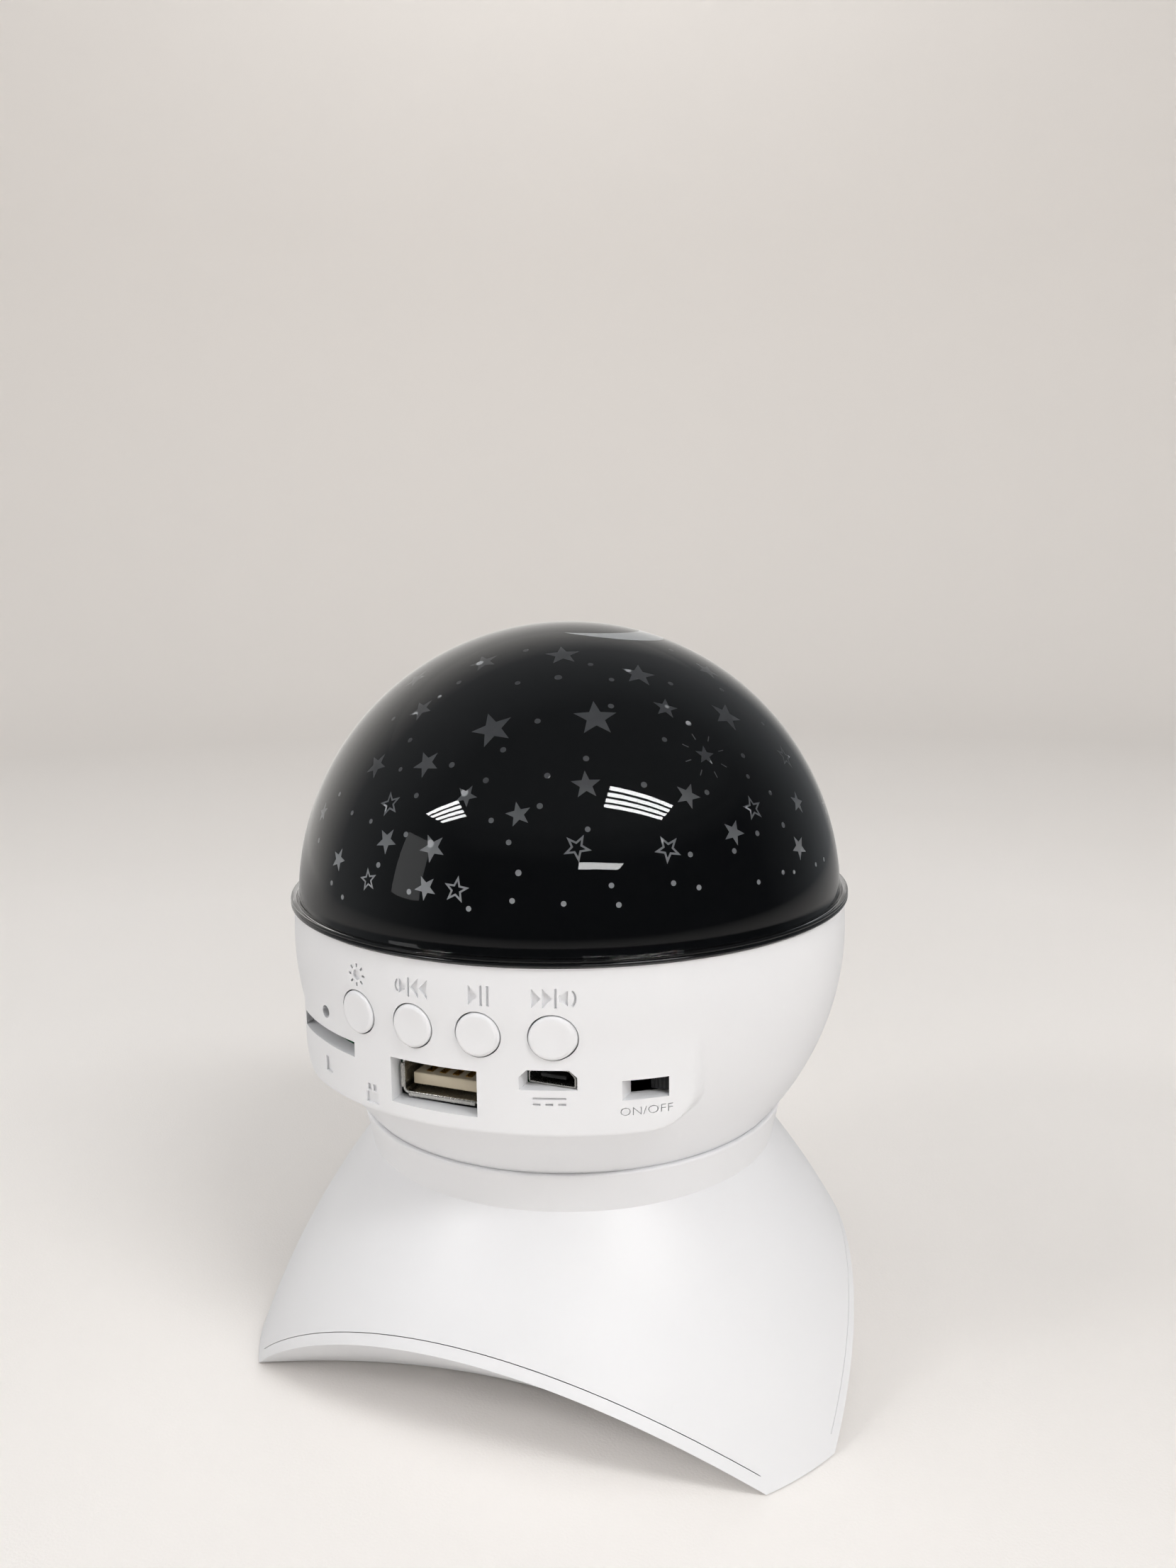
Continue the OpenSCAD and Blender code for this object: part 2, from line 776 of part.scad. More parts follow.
module micro_usb_tongue() {
    back = micro_y - micro_len + micro_metal;
    color([0.1, 0.1, 0.1]) {
        block_y(micro_x, micro_z - 0.2, 4, 0.6, back, micro_y - 0.6);
        block_y(micro_x, micro_z, micro_w - 2 * micro_metal, micro_h - 2 * micro_metal, back, back + 1);
    }
}

module card_socket() {
    lip = 0.3;
    color([0.75, 0.75, 0.77]) difference() {
        block_y(card_x, board_z + card_socket_h / 2, card_socket_w, card_socket_h,
                card_y - card_socket_len, card_y);
        block_y(card_x, board_z + card_socket_h / 2, card_socket_w - 2 * lip - 1, card_socket_h - 2 * lip,
                card_y - card_socket_len + 2, card_y + 1);
    }
}

module switch_case() {
    color([0.78, 0.78, 0.8]) difference() {
        block_y(switch_x, switch_z, case_w, case_h, case_y - case_d, case_y);
        block_y(switch_x, switch_z, case_w - 3 * case_wall, case_h - 2 * case_wall + 0.2,
                case_y - case_d + case_wall, case_y - case_wall);
        block_y(switch_x, switch_z, nub_w + switch_travel + 0.4, nub_h + 0.2, case_y - 1, case_y + 1);
    }
}

module power_slider() {
    color([0.05, 0.05, 0.05]) union() {
        block_y(nub_x, switch_z, nub_w, nub_h, slider_y - slider_d, nub_y);
        block_y(nub_x, switch_z, slider_w, slider_h, slider_y - slider_d, slider_y);
    }
}

// ---- Battery ----

module battery_cell() {
    color([0.2, 0.45, 0.7]) translate([-cell_len / 2, battery_y, battery_z]) rotate([0, 90, 0])
        cylinder(r = cell_r, h = cell_len);
}

module battery_holder() {
    y0 = battery_y - cell_r - holder_wall;
    y1 = battery_y + cell_r + holder_wall;
    color([0.15, 0.15, 0.16]) difference() {
        union() {
            for (x = holder_xs) slab(x, x + holder_w, y0, y1, floor_z, battery_z);
            slab(holder_xs[0], holder_xs[1] + holder_w, y0, y1, floor_z, floor_z + holder_floor);
        }
        translate([-big / 2, battery_y, battery_z]) rotate([0, 90, 0])
            cylinder(r = cell_r + fit_gap, h = big);
        disc(deck_hole_r, floor_z - 1, floor_z + 3);
    }
}

// ---- Stand ----

module neck_ring() {
    color([0.94, 0.94, 0.95]) difference() {
        translate([0, 0, stand_h]) cylinder(r1 = neck_r, r2 = neck_top_r, h = neck_h);
        translate([0, 0, bowl_z]) sphere(r = bowl_r + fit_gap);
    }
}

// The stand's outer form, or one inside it, from the neck to the floor
module bell(inset, z0, z1) {
    rotate_extrude() intersection() {
        translate([flare_cx, flare_cz]) circle(r = flare_r - inset, $fn = 360);
        translate([0, z0]) square([foot_r + 5, z1 - z0]);
    }
}

// The three round cutters that shape the arches between the feet
module arches(grow) {
    for (a = arch_angles) rotate(a + 90)
        translate([0, -arch_in, 0]) rotate([90 - arch_slope, 0, 0])
            translate([0, -arch_r, -big]) cylinder(r = arch_r + grow, h = 2 * big, $fn = 360);
}

module stand_shell() {
    color([0.94, 0.94, 0.95]) difference() {
        union() {
            difference() {
                bell(0, cover_z, stand_h);
                bell(stand_wall, 0, stand_h - stand_wall);
            }
            intersection() {
                around(foot_angles, post_at) disc(cover_post_r, cover_z + cover_boss_h, stand_h - 1);
                bell(1, 0, stand_h);
            }
        }
        arches(cover_t + fit_gap);
        disc(deck_hole_r, 0, stand_h + 1);
        around(foot_angles, bowl_screw_at) disc(needle_r + 0.15, stand_h - stand_wall - 3, stand_h + 1);
        around(foot_angles, post_at) disc(needle_r, 0, cover_z + cover_screw_len + 3);
    }
}

module stand_cover() {
    color([0.94, 0.94, 0.95]) difference() {
        union() {
            intersection() {
                bell(0, tip_z, stand_h);
                union() {
                    arches(cover_t);
                    disc(foot_r + 1, 0, cover_z);
                }
            }
            around(foot_angles, post_at) disc(cover_post_r, tip_z, cover_z + cover_boss_h);
            around(foot_angles, speaker_ear_at) disc(speaker_ear_r, tip_z, speaker_z);
        }
        arches(0);
        difference() {
            disc(foot_r - rim_w, -1, pad_h);
            arches(rim_w);
        }
        around(foot_angles, post_at) {
            disc(needle_r + 0.35, 0, big);
            disc(cover_head_r + 0.3, 0, cover_z + cover_head_sink);
        }
        around(foot_angles, speaker_ear_at) disc(speaker_screw_r + 0.05, cover_z - 0.6, big);
        for (i = [-3:3]) {
            half = sqrt(slot_field_r * slot_field_r - i * i * slot_pitch * slot_pitch) - slot_w / 2;
            slab(-half, half, i * slot_pitch - slot_w / 2, i * slot_pitch + slot_w / 2, 0, cover_z + 1);
            for (x = [-half, half]) translate([x, i * slot_pitch, 0]) disc(slot_w / 2, 0, cover_z + 1);
        }
    }
}

module cover_screws() {
    color([0.6, 0.6, 0.62]) around(foot_angles, post_at)
        translate([0, 0, cover_z + cover_head_sink])
            screw(cover_head_r, cover_head_h, needle_r, cover_screw_len);
}

module foot_pads() {
    color([0.2, 0.2, 0.21]) around(foot_angles, pad_at) disc(pad_r, 0, pad_h);
}

// ---- Loudspeaker ----

module speaker_gasket() {
    color([0.15, 0.15, 0.15]) tube(speaker_r - 0.4, speaker_r - speaker_land, cover_z, speaker_z);
}

module speaker_frame() {
    z1 = speaker_z + rim_t;
    color([0.35, 0.35, 0.37]) difference() {
        union() {
            disc(speaker_r, speaker_z, z1);
            around(foot_angles, speaker_ear_at) {
                disc(speaker_ear_r, speaker_z, z1);
                slab(-speaker_ear_r - 2, 0, -speaker_ear_r, speaker_ear_r, speaker_z, z1);
            }
            translate([0, 0, z1]) cylinder(r1 = speaker_r - 2, r2 = basket_r, h = basket_h);
        }
        translate([0, 0, speaker_z - eps]) cylinder(r = speaker_r - speaker_land, h = rim_t + 2 * eps);
        translate([0, 0, z1]) cylinder(r1 = speaker_r - speaker_land, r2 = basket_r - 1, h = basket_h - 1);
        around(foot_angles, speaker_ear_at) disc(speaker_screw_r + 0.35, 0, big);
        around([for (i = [0:5]) i * 60], 15) translate([0, 0, z1 + 4]) rotate([0, 90, 0])
            cylinder(r = vent_r, h = 12, center = true);
    }
}

module speaker_cone() {
    z1 = speaker_z + rim_t;
    color([0.08, 0.08, 0.08]) union() {
        difference() {
            translate([0, 0, z1]) cylinder(r1 = speaker_r - 3.3, r2 = coil_r, h = basket_h - 2);
            translate([0, 0, z1 - 0.5]) cylinder(r1 = speaker_r - 3.9, r2 = coil_r - 0.5, h = basket_h - 2);
        }
        translate([0, 0, z1 + basket_h - 2]) disc(coil_r, -0.8, 0);
        translate([0, 0, z1 + basket_h - 2]) disc(coil_r - 1, 0, 1);
    }
}

module speaker_magnet() {
    z1 = speaker_z + rim_t + basket_h;
    color([0.25, 0.25, 0.27]) {
        disc(magnet_r, z1, z1 + magnet_h);
        disc(magnet_r - 1.5, z1 + magnet_h, z1 + magnet_h + 1);
    }
}

module speaker_screws() {
    color([0.6, 0.6, 0.62]) around(foot_angles, speaker_ear_at)
        translate([0, 0, speaker_z + rim_t]) mirror([0, 0, 1])
            screw(speaker_head_r, speaker_head_h, speaker_screw_r, rim_t + gasket_t + 0.2);
}

dome_shell();
star_film();
dome_ring();
gear_ring();
drive_pinion();
output_shaft();
bowl_shell();
lamp_deck();
deck_screws();
reflector_plate();
lamp_post();
led_board();
star_leds();
lens_cap();
motor_gearbox();
motor_can();
motor_screws();
lamp_button();
previous_button();
play_button();
next_button();
lamp_plunger();
previous_plunger();
play_plunger();
next_plunger();
button_board();
tact_switches();
indicator_led();
main_board();
board_screws();
board_parts();
usb_shell();
usb_tongue();
usb_contacts();
micro_usb_shell();
micro_usb_tongue();
card_socket();
switch_case();
power_slider();
battery_cell();
battery_holder();
neck_ring();
bowl_screws();
stand_shell();
stand_cover();
cover_screws();
foot_pads();
speaker_gasket();
speaker_frame();
speaker_cone();
speaker_magnet();
speaker_screws();
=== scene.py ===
# Star night light projector: visible pieces, finishes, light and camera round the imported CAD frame.
# Pieces are shaped in millimetres and brought to metres when they are finished.
import math
import random

import bmesh
import bpy
from mathutils import Matrix, Vector


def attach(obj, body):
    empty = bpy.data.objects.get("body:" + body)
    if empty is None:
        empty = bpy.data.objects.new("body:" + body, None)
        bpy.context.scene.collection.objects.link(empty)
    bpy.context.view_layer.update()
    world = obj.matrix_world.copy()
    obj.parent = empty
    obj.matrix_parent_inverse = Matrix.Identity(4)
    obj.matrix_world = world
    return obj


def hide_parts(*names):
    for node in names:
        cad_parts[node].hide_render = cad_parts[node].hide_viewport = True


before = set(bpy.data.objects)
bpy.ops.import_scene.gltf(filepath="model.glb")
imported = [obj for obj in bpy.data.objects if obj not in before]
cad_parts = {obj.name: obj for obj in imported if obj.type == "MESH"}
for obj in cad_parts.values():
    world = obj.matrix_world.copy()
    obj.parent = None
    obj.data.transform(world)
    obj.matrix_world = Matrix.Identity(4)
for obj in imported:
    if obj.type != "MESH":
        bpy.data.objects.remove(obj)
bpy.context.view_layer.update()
print("frame loaded")

mm = 0.001
tau = 2 * math.pi

# The CAD part's main sizes in millimetres, which several pieces share
lamp = {
    "rimRadius": 48.0,  # black ring and dome flange
    "rimLow": 81.64,  # underside of the black ring
    "ringTop": 82.24,
    "flangeTop": 82.84,
    "domeRadius": 46.7,
    "domeCentre": 81.19,
    "ballRadius": 47.6,
    "ballCentre": 76.04,
    "standHeight": 38.6,
    "footRadius": 57.5,
    "steps": 192,  # faces round the large turned pieces
}

# Centres of what shows in the panel, across and up
panelPlaces = {
    "usb": (-2.35, 61.99), "micro": (15.2, 64.69), "switch": (27.75, 62.79), "card": (-25.1, 64.69),
    "indicator": (-24.8, 68.64),
}
buttonPlaces = {"lamp": -16.05, "previous": -5.35, "play": 5.35, "next": 16.05}
buttonHeight = 71.14


# Small tools that the pieces share


def linearColour(hexCode):
    values = [int(hexCode[i:i + 2], 16) / 255 for i in (0, 2, 4)]
    return [v / 12.92 if v <= 0.04045 else ((v + 0.055) / 1.055) ** 2.4 for v in values] + [1.0]


def addNode(tree, kind, settings=None, links=None):
    node = tree.nodes.new(kind)
    for key, value in (settings or {}).items():
        if key == "stops":  # a ramp's colours, as (position, hex)
            elements = node.color_ramp.elements
            for k, (position, colour) in enumerate(value):
                stop = elements[k] if k < 2 else elements.new(position)
                stop.position, stop.color = position, linearColour(colour)
        elif isinstance(key, int) or key in node.inputs:
            node.inputs[key].default_value = value
        else:
            setattr(node, key, value)
    for key, source in (links or {}).items():
        tree.links.new(source, node.inputs[key])
    return node


def smoothStep(low, high, value):
    t = min(1, max(0, (value - low) / (high - low)))
    return t * t * (3 - 2 * t)


def evenly(start, end, count):
    return [start + (end - start) * k / count for k in range(count + 1)]


def spun(profile, sectors, start=0.0):
    # a closed profile of (radius, height), spun through sectors of (degrees, steps)
    bm = bmesh.new()
    a = math.radians(start)
    verts = [bm.verts.new((r * math.cos(a), r * math.sin(a), z)) for r, z in profile]
    last = verts + [bm.edges.new(pair) for pair in zip(verts, verts[1:] + verts[:1])]
    for degrees, steps in sectors:
        made = bmesh.ops.spin(bm, geom=last, cent=(0, 0, 0), axis=(0, 0, 1),
                              angle=math.radians(degrees), steps=steps, use_merge=False)
        last = made["geom_last"]
    bmesh.ops.remove_doubles(bm, verts=bm.verts, dist=0.001)
    bmesh.ops.delete(bm, geom=[edge for edge in bm.edges if not edge.link_faces], context="EDGES")
    bmesh.ops.recalc_face_normals(bm, faces=bm.faces)
    return bm


def vertsOf(geom):
    return [item for item in geom if isinstance(item, bmesh.types.BMVert)]


def around(angles, at):
    return [(at * math.cos(math.radians(a)), at * math.sin(math.radians(a))) for a in angles]


def scratchMesh(bm, name="scratch"):
    mesh = bpy.data.meshes.new(name)
    bm.to_mesh(mesh)
    bm.free()
    return mesh


def scratchObject(bm, name="scratch"):
    obj = bpy.data.objects.new(name, scratchMesh(bm, name))
    bpy.context.scene.collection.objects.link(obj)
    return obj


def pour(bm, target):
    # adds a shape to another and frees it
    mesh = scratchMesh(bm)
    target.from_mesh(mesh)
    bpy.data.meshes.remove(mesh)


def cutWith(obj, cutter, operation="DIFFERENCE", keepCutter=False):
    modifier = obj.modifiers.new("cut", "BOOLEAN")
    modifier.operation = operation
    modifier.solver = "EXACT"
    modifier.object = cutter
    shaped = bpy.data.meshes.new_from_object(obj.evaluated_get(bpy.context.evaluated_depsgraph_get()))
    obj.modifiers.clear()
    obj.data = shaped
    if not keepCutter:
        bpy.data.objects.remove(cutter)


def box(bm, low, high):
    made = bmesh.ops.create_cube(bm, size=1)
    size = Vector(high) - Vector(low)
    bmesh.ops.scale(bm, vec=size, verts=made["verts"])
    bmesh.ops.translate(bm, vec=Vector(low) + size / 2, verts=made["verts"])
    return made["verts"]


def upright(bm, x, y, radius, low, high, segments=48):
    bmesh.ops.create_cone(bm, cap_ends=True, segments=segments, radius1=radius, radius2=radius,
                          depth=high - low, matrix=Matrix.Translation((x, y, (low + high) / 2)))


def barAlongY(bm, x, z, radius, near, far, segments=64):
    # a round bar in front of the axis, from y = -near to y = -far
    turn = Matrix.Translation((x, -(near + far) / 2, z)) @ Matrix.Rotation(math.pi / 2, 4, "X")
    bmesh.ops.create_cone(bm, cap_ends=True, segments=segments, radius1=radius, radius2=radius,
                          depth=far - near, matrix=turn)


def bevelEdges(bm, edges, width, segments=3):
    bmesh.ops.bevel(bm, geom=list(edges), offset=width, offset_type="OFFSET", segments=segments,
                    profile=0.5, affect="EDGES", material=-1, clamp_overlap=True)


def bevelledBox(bm, low, high, width, segments):
    made = box(bm, low, high)
    bevelEdges(bm, {edge for vert in made for edge in vert.link_edges}, width, segments)


def finished(obj, name, body, materials, replaced=(), sharp=32):
    # names the piece, brings it to metres, gives it its finishes, ties it to its body and hides the CAD nodes
    # it replaces
    obj.name = name
    obj.data.name = name
    obj.data.transform(Matrix.Scale(mm, 4))
    obj.data.shade_smooth()
    obj.data.set_sharp_from_angle(angle=math.radians(sharp))
    obj.data.materials.clear()
    for material in materials:
        obj.data.materials.append(material)
    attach(obj, body)
    if replaced:
        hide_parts(*replaced)
    return obj


# Finishes, each named for its material and how its surface was made


def newMaterial(name):
    # an empty material, its nodes, and the place on the piece that its patterns start from
    material = bpy.data.materials.new(name)
    material.use_nodes = True
    tree = material.node_tree
    tree.nodes.clear()
    return material, tree, addNode(tree, "ShaderNodeTexCoord").outputs["Object"]


def moulded(name, values):
    # Shared build of the opaque finishes: a base colour that drifts a little, a roughness that
    # wanders, and a bump at the grain's real size in millimetres.
    material, tree, place = newMaterial(name)
    drift = addNode(tree, "ShaderNodeTexNoise", {"Scale": 1000 / values["drift"], "Detail": 3.0},
                    {"Vector": place})
    colour = addNode(tree, "ShaderNodeMix", {"data_type": "RGBA", 6: linearColour(values["dark"]),
                                             7: linearColour(values["light"])},
                     {0: drift.outputs["Fac"]})
    grain = addNode(tree, "ShaderNodeTexNoise", {"Scale": 1000 / values["grain"], "Detail": 2.0},
                    {"Vector": place})
    rough = addNode(tree, "ShaderNodeMapRange", {"To Min": values["rough"][0], "To Max": values["rough"][1]},
                    {"Value": grain.outputs["Fac"]})
    bump = addNode(tree, "ShaderNodeBump", {"Strength": values["bump"], "Distance": values["depth"] * mm},
                   {"Height": grain.outputs["Fac"]})
    shader = addNode(tree, "ShaderNodeBsdfPrincipled",
                     {"Metallic": values.get("metallic", 0.0), "IOR": values.get("ior", 1.5),
                      "Specular IOR Level": values.get("specular", 0.5),
                      "Coat Weight": values.get("coat", 0.0), "Coat Roughness": 0.05},
                     {"Base Color": colour.outputs[2], "Roughness": rough.outputs["Result"],
                      "Normal": bump.outputs["Normal"]})
    addNode(tree, "ShaderNodeOutputMaterial", None, {"Surface": shader.outputs["BSDF"]})
    return material


finishValues = {
    # ABS, injection moulded in a lightly sparked tool: satin, cool white, faint flow marks
    "whiteAbsMoulded": {"dark": "E2E3E6", "light": "E8E9EB", "drift": 30, "grain": 0.3,
                        "rough": (0.34, 0.44), "bump": 0.12, "depth": 0.02},
    # ABS inner side, unpolished tool: duller white
    "whiteAbsInside": {"dark": "D9DADC", "light": "E3E4E5", "drift": 14, "grain": 0.5,
                       "rough": (0.5, 0.62), "bump": 0.2, "depth": 0.03},
    # ABS, polished tool: piano black with faint wipe marks
    "blackAbsPolished": {"dark": "060607", "light": "0B0B0D", "drift": 18, "grain": 2.4,
                         "rough": (0.05, 0.12), "bump": 0.02, "depth": 0.02, "coat": 0.3},
    # PET sheet, screen printed with black ink on its inner side: flat deep black
    "blackInkPrinted": {"dark": "0B0B0C", "light": "101012", "drift": 9, "grain": 0.4,
                        "rough": (0.6, 0.7), "bump": 0.03, "depth": 0.01, "specular": 0.05},
    # PET sheet where the moon leaves it unprinted: lies nearly level and shows the pale wall behind;
    # that wall's light is painted into its pale colour
    "moonFilmPaintedLight": {"dark": "DCDFE0", "light": "F2F4F5", "drift": 9, "grain": 0.9,
                      "rough": (0.3, 0.5), "bump": 0.1, "depth": 0.02},
    # acetal, moulded gears: waxy natural white
    "acetalMoulded": {"dark": "DEDCD2", "light": "E8E6DD", "drift": 8, "grain": 0.6,
                      "rough": (0.36, 0.46), "bump": 0.1, "depth": 0.02},
    # polycarbonate with white filler, moulded: bright matt reflector
    "reflectorMoulded": {"dark": "E6E6E4", "light": "EFEFEE", "drift": 20, "grain": 0.8,
                         "rough": (0.55, 0.65), "bump": 0.06, "depth": 0.02},
    # carbon steel screws, zinc plated: grey-blue metal with a grainy bloom
    "zincPlatedSteel": {"dark": "9A9DA2", "light": "B4B7BB", "drift": 1.5, "grain": 0.25,
                        "rough": (0.28, 0.44), "bump": 0.2, "depth": 0.01, "metallic": 1.0},
    # silver steel shaft, ground: bright with fine turning marks
    "groundSteelShaft": {"dark": "A9ABAD", "light": "C3C4C6", "drift": 2, "grain": 0.15,
                         "rough": (0.16, 0.26), "bump": 0.1, "depth": 0.01, "metallic": 1.0},
    # deep drawn steel, nickel plated: motor can, tact switch covers
    "nickelPlatedSteel": {"dark": "BCBAB5", "light": "D6D4CF", "drift": 3, "grain": 0.2,
                          "rough": (0.2, 0.32), "bump": 0.08, "depth": 0.01, "metallic": 1.0},
    # nylon with glass fibre, moulded: dark grey gearbox with a dry surface
    "nylonGreyMoulded": {"dark": "3A3B3E", "light": "47484B", "drift": 6, "grain": 0.5,
                         "rough": (0.5, 0.62), "bump": 0.3, "depth": 0.03},
    # nylon, black moulded: plungers, switch nub, holder
    "nylonBlackMoulded": {"dark": "0E0E10", "light": "18181A", "drift": 4, "grain": 0.4,
                          "rough": (0.38, 0.52), "bump": 0.25, "depth": 0.02},
    # liquid crystal polymer, moulded: warm ivory tongue of the USB socket
    "ivoryPolymerMoulded": {"dark": "C2B79F", "light": "D3C9B3", "drift": 3, "grain": 0.35,
                            "rough": (0.42, 0.55), "bump": 0.15, "depth": 0.02},
    # phosphor bronze contacts, gold flashed and stamped
    "goldFlashedBronze": {"dark": "C79A4A", "light": "E2BC6C", "drift": 1, "grain": 0.2,
                          "rough": (0.22, 0.34), "bump": 0.1, "depth": 0.01, "metallic": 1.0},
    # glass epoxy board under white solder mask
    "whiteMaskBoard": {"dark": "D8DAD6", "light": "E4E5E2", "drift": 5, "grain": 0.5,
                       "rough": (0.3, 0.42), "bump": 0.15, "depth": 0.02},
    # heat shrunk PVC sleeve of the cell: blue, glossy, slightly wrinkled
    "pvcSleeveShrunk": {"dark": "2B5F9E", "light": "3A74B6", "drift": 9, "grain": 2.2,
                        "rough": (0.24, 0.36), "bump": 0.4, "depth": 0.06},
    # silicone rubber pads, moulded: dull charcoal
    "siliconePadMoulded": {"dark": "242527", "light": "303134", "drift": 3, "grain": 0.4,
                           "rough": (0.7, 0.82), "bump": 0.35, "depth": 0.03},
    # ethylene foam gasket, die cut: matt black with open cells
    "foamGasketCut": {"dark": "131314", "light": "242426", "drift": 1, "grain": 0.45,
                      "rough": (0.85, 0.95), "bump": 0.8, "depth": 0.12},
    # pressed steel basket, powder coated: fine orange peel in dark grey
    "powderCoatedSteel": {"dark": "2F3033", "light": "3A3B3E", "drift": 5, "grain": 0.6,
                          "rough": (0.45, 0.58), "bump": 0.45, "depth": 0.04},
    # pressed paper cone: fibrous near-black
    "paperConePressed": {"dark": "0D0D0E", "light": "1E1E20", "drift": 1.2, "grain": 0.5,
                         "rough": (0.8, 0.92), "bump": 0.7, "depth": 0.08},
    # sintered ferrite, ground: dark grey and slightly sparkling
    "ferriteSintered": {"dark": "2A2A2C", "light": "3B3B3D", "drift": 0.8, "grain": 0.3,
                        "rough": (0.45, 0.7), "bump": 0.4, "depth": 0.03},
    # epoxy chip packages and headers, transfer moulded
    "epoxyChipMoulded": {"dark": "141416", "light": "202023", "drift": 2, "grain": 0.3,
                         "rough": (0.5, 0.65), "bump": 0.3, "depth": 0.02},
}
finishes = {name: moulded(name, values) for name, values in finishValues.items()}


def clearDomeMaterial():
    # polystyrene, polished tool: clear, hard and glossy, the film shows through it
    material, tree, place = newMaterial("clearPolystyrenePolished")
    wipe = addNode(tree, "ShaderNodeTexNoise", {"Scale": 1000 / 9, "Detail": 2.0}, {"Vector": place})
    rough = addNode(tree, "ShaderNodeMapRange", {"To Min": 0.0, "To Max": 0.02},
                    {"Value": wipe.outputs["Fac"]})
    shader = addNode(tree, "ShaderNodeBsdfPrincipled",
                     {"Base Color": linearColour("FCFCFD"), "Transmission Weight": 1.0, "IOR": 1.5},
                     {"Roughness": rough.outputs["Result"]})
    addNode(tree, "ShaderNodeOutputMaterial", None, {"Surface": shader.outputs["BSDF"]})
    return material


# Painted light on the star windows: a tone by height, pale at the rim and grey higher up, and pale glint
# spots
starWindowValues = {
    "heights": (0.088, 0.108),  # metres above the floor, from the rim upwards
    "tones": ((0.0, "EAECED"), (0.47, "A2A4A6"), (0.9, "545557")),
    "paintedGlint": "F4F5F6", "paintedGlintPitch": 4, "paintedGlintReach": (0.18, 0.12),
    "grain": 0.9, "rough": (0.3, 0.5), "bump": 0.2, "depth": 0.02,
}


def starWindowMaterial(values):
    # PET sheet where it isn't printed, against the reflector below. Its colour is painted light and shade:
    # pale near the rim, grey towards the top, with small painted glints of the lamp's clear cap
    material, tree, place = newMaterial("clearFilmPaintedLight")
    # the colour by height is painted shade: pale at the rim, grey higher up
    height = addNode(tree, "ShaderNodeSeparateXYZ", None, {"Vector": place})
    low, high = values["heights"]
    level = addNode(tree, "ShaderNodeMapRange", {"From Min": low, "From Max": high},
                    {"Value": height.outputs["Z"]})
    tone = addNode(tree, "ShaderNodeValToRGB", {"stops": values["tones"]}, {"Fac": level.outputs["Result"]})
    # painted glints: one pale spot in each cell, the cells about 4 mm across
    cells = addNode(tree, "ShaderNodeTexVoronoi", {"Scale": 1000 / values["paintedGlintPitch"]}, {"Vector": place})
    paintedGlintMask = addNode(tree, "ShaderNodeMapRange",
                   {"From Min": values["paintedGlintReach"][0], "From Max": values["paintedGlintReach"][1]},
                   {"Value": cells.outputs["Distance"]})
    paintedGlint = addNode(tree, "ShaderNodeMix", {"data_type": "RGBA", 7: linearColour(values["paintedGlint"])},
                    {0: paintedGlintMask.outputs["Result"], 6: tone.outputs["Color"]})
    grain = addNode(tree, "ShaderNodeTexNoise", {"Scale": 1000 / values["grain"], "Detail": 2.0},
                    {"Vector": place})
    bump = addNode(tree, "ShaderNodeBump", {"Strength": values["bump"], "Distance": values["depth"] * mm},
                   {"Height": grain.outputs["Fac"]})
    rough = addNode(tree, "ShaderNodeMapRange", {"To Min": values["rough"][0], "To Max": values["rough"][1]},
                    {"Value": grain.outputs["Fac"]})
    shader = addNode(tree, "ShaderNodeBsdfPrincipled", {"IOR": 1.45},
                     {"Base Color": paintedGlint.outputs[2], "Roughness": rough.outputs["Result"],
                      "Normal": bump.outputs["Normal"]})
    addNode(tree, "ShaderNodeOutputMaterial", None, {"Surface": shader.outputs["BSDF"]})
    return material


def circuitBoardMaterial():
    # glass epoxy board under green solder mask, printed: tracks 4 mm apart show as paler green lines
    material, tree, place = newMaterial("greenMaskBoard")
    tracks = addNode(tree, "ShaderNodeTexBrick",
                     {"Scale": 1000 / 4, "Mortar Size": 0.06, "Color1": linearColour("0E4D2C"),
                      "Color2": linearColour("115634"), "Mortar": linearColour("2C8A57")},
                     {"Vector": place})
    weave = addNode(tree, "ShaderNodeTexNoise", {"Scale": 1000 / 0.4, "Detail": 2.0}, {"Vector": place})
    bump = addNode(tree, "ShaderNodeBump", {"Strength": 0.3, "Distance": 0.00003},
                   {"Height": tracks.outputs["Fac"]})
    rough = addNode(tree, "ShaderNodeMapRange", {"To Min": 0.22, "To Max": 0.36},
                    {"Value": weave.outputs["Fac"]})
    shader = addNode(tree, "ShaderNodeBsdfPrincipled", None,
                     {"Base Color": tracks.outputs["Color"], "Roughness": rough.outputs["Result"],
                      "Normal": bump.outputs["Normal"]})
    addNode(tree, "ShaderNodeOutputMaterial", None, {"Surface": shader.outputs["BSDF"]})
    return material


def clearResinMaterial(name, tint, rough):
    # clear resin, cast or moulded: a slight haze over a smooth skin, for lights and lens cap
    material, tree, place = newMaterial(name)
    cloud = addNode(tree, "ShaderNodeTexNoise", {"Scale": 1000 / 1.5, "Detail": 1.0}, {"Vector": place})
    spread = addNode(tree, "ShaderNodeMapRange", {"To Min": rough, "To Max": rough + 0.12},
                     {"Value": cloud.outputs["Fac"]})
    shader = addNode(tree, "ShaderNodeBsdfPrincipled",
                     {"Base Color": linearColour(tint), "Transmission Weight": 0.85, "IOR": 1.5},
                     {"Roughness": spread.outputs["Result"]})
    addNode(tree, "ShaderNodeOutputMaterial", None, {"Surface": shader.outputs["BSDF"]})
    return material


finishes["clearDome"] = clearDomeMaterial()
finishes["starWindow"] = starWindowMaterial(starWindowValues)
finishes["greenBoard"] = circuitBoardMaterial()
finishes["epoxyResinCast"] = clearResinMaterial("epoxyResinCast", "F4EFD8", 0.1)
finishes["epoxyResinGrey"] = clearResinMaterial("epoxyResinGrey", "8C8F96", 0.25)
finishes["clearLensMoulded"] = clearResinMaterial("clearLensMoulded", "EEF1F4", 0.08)
print("finishes made:", len(finishes))

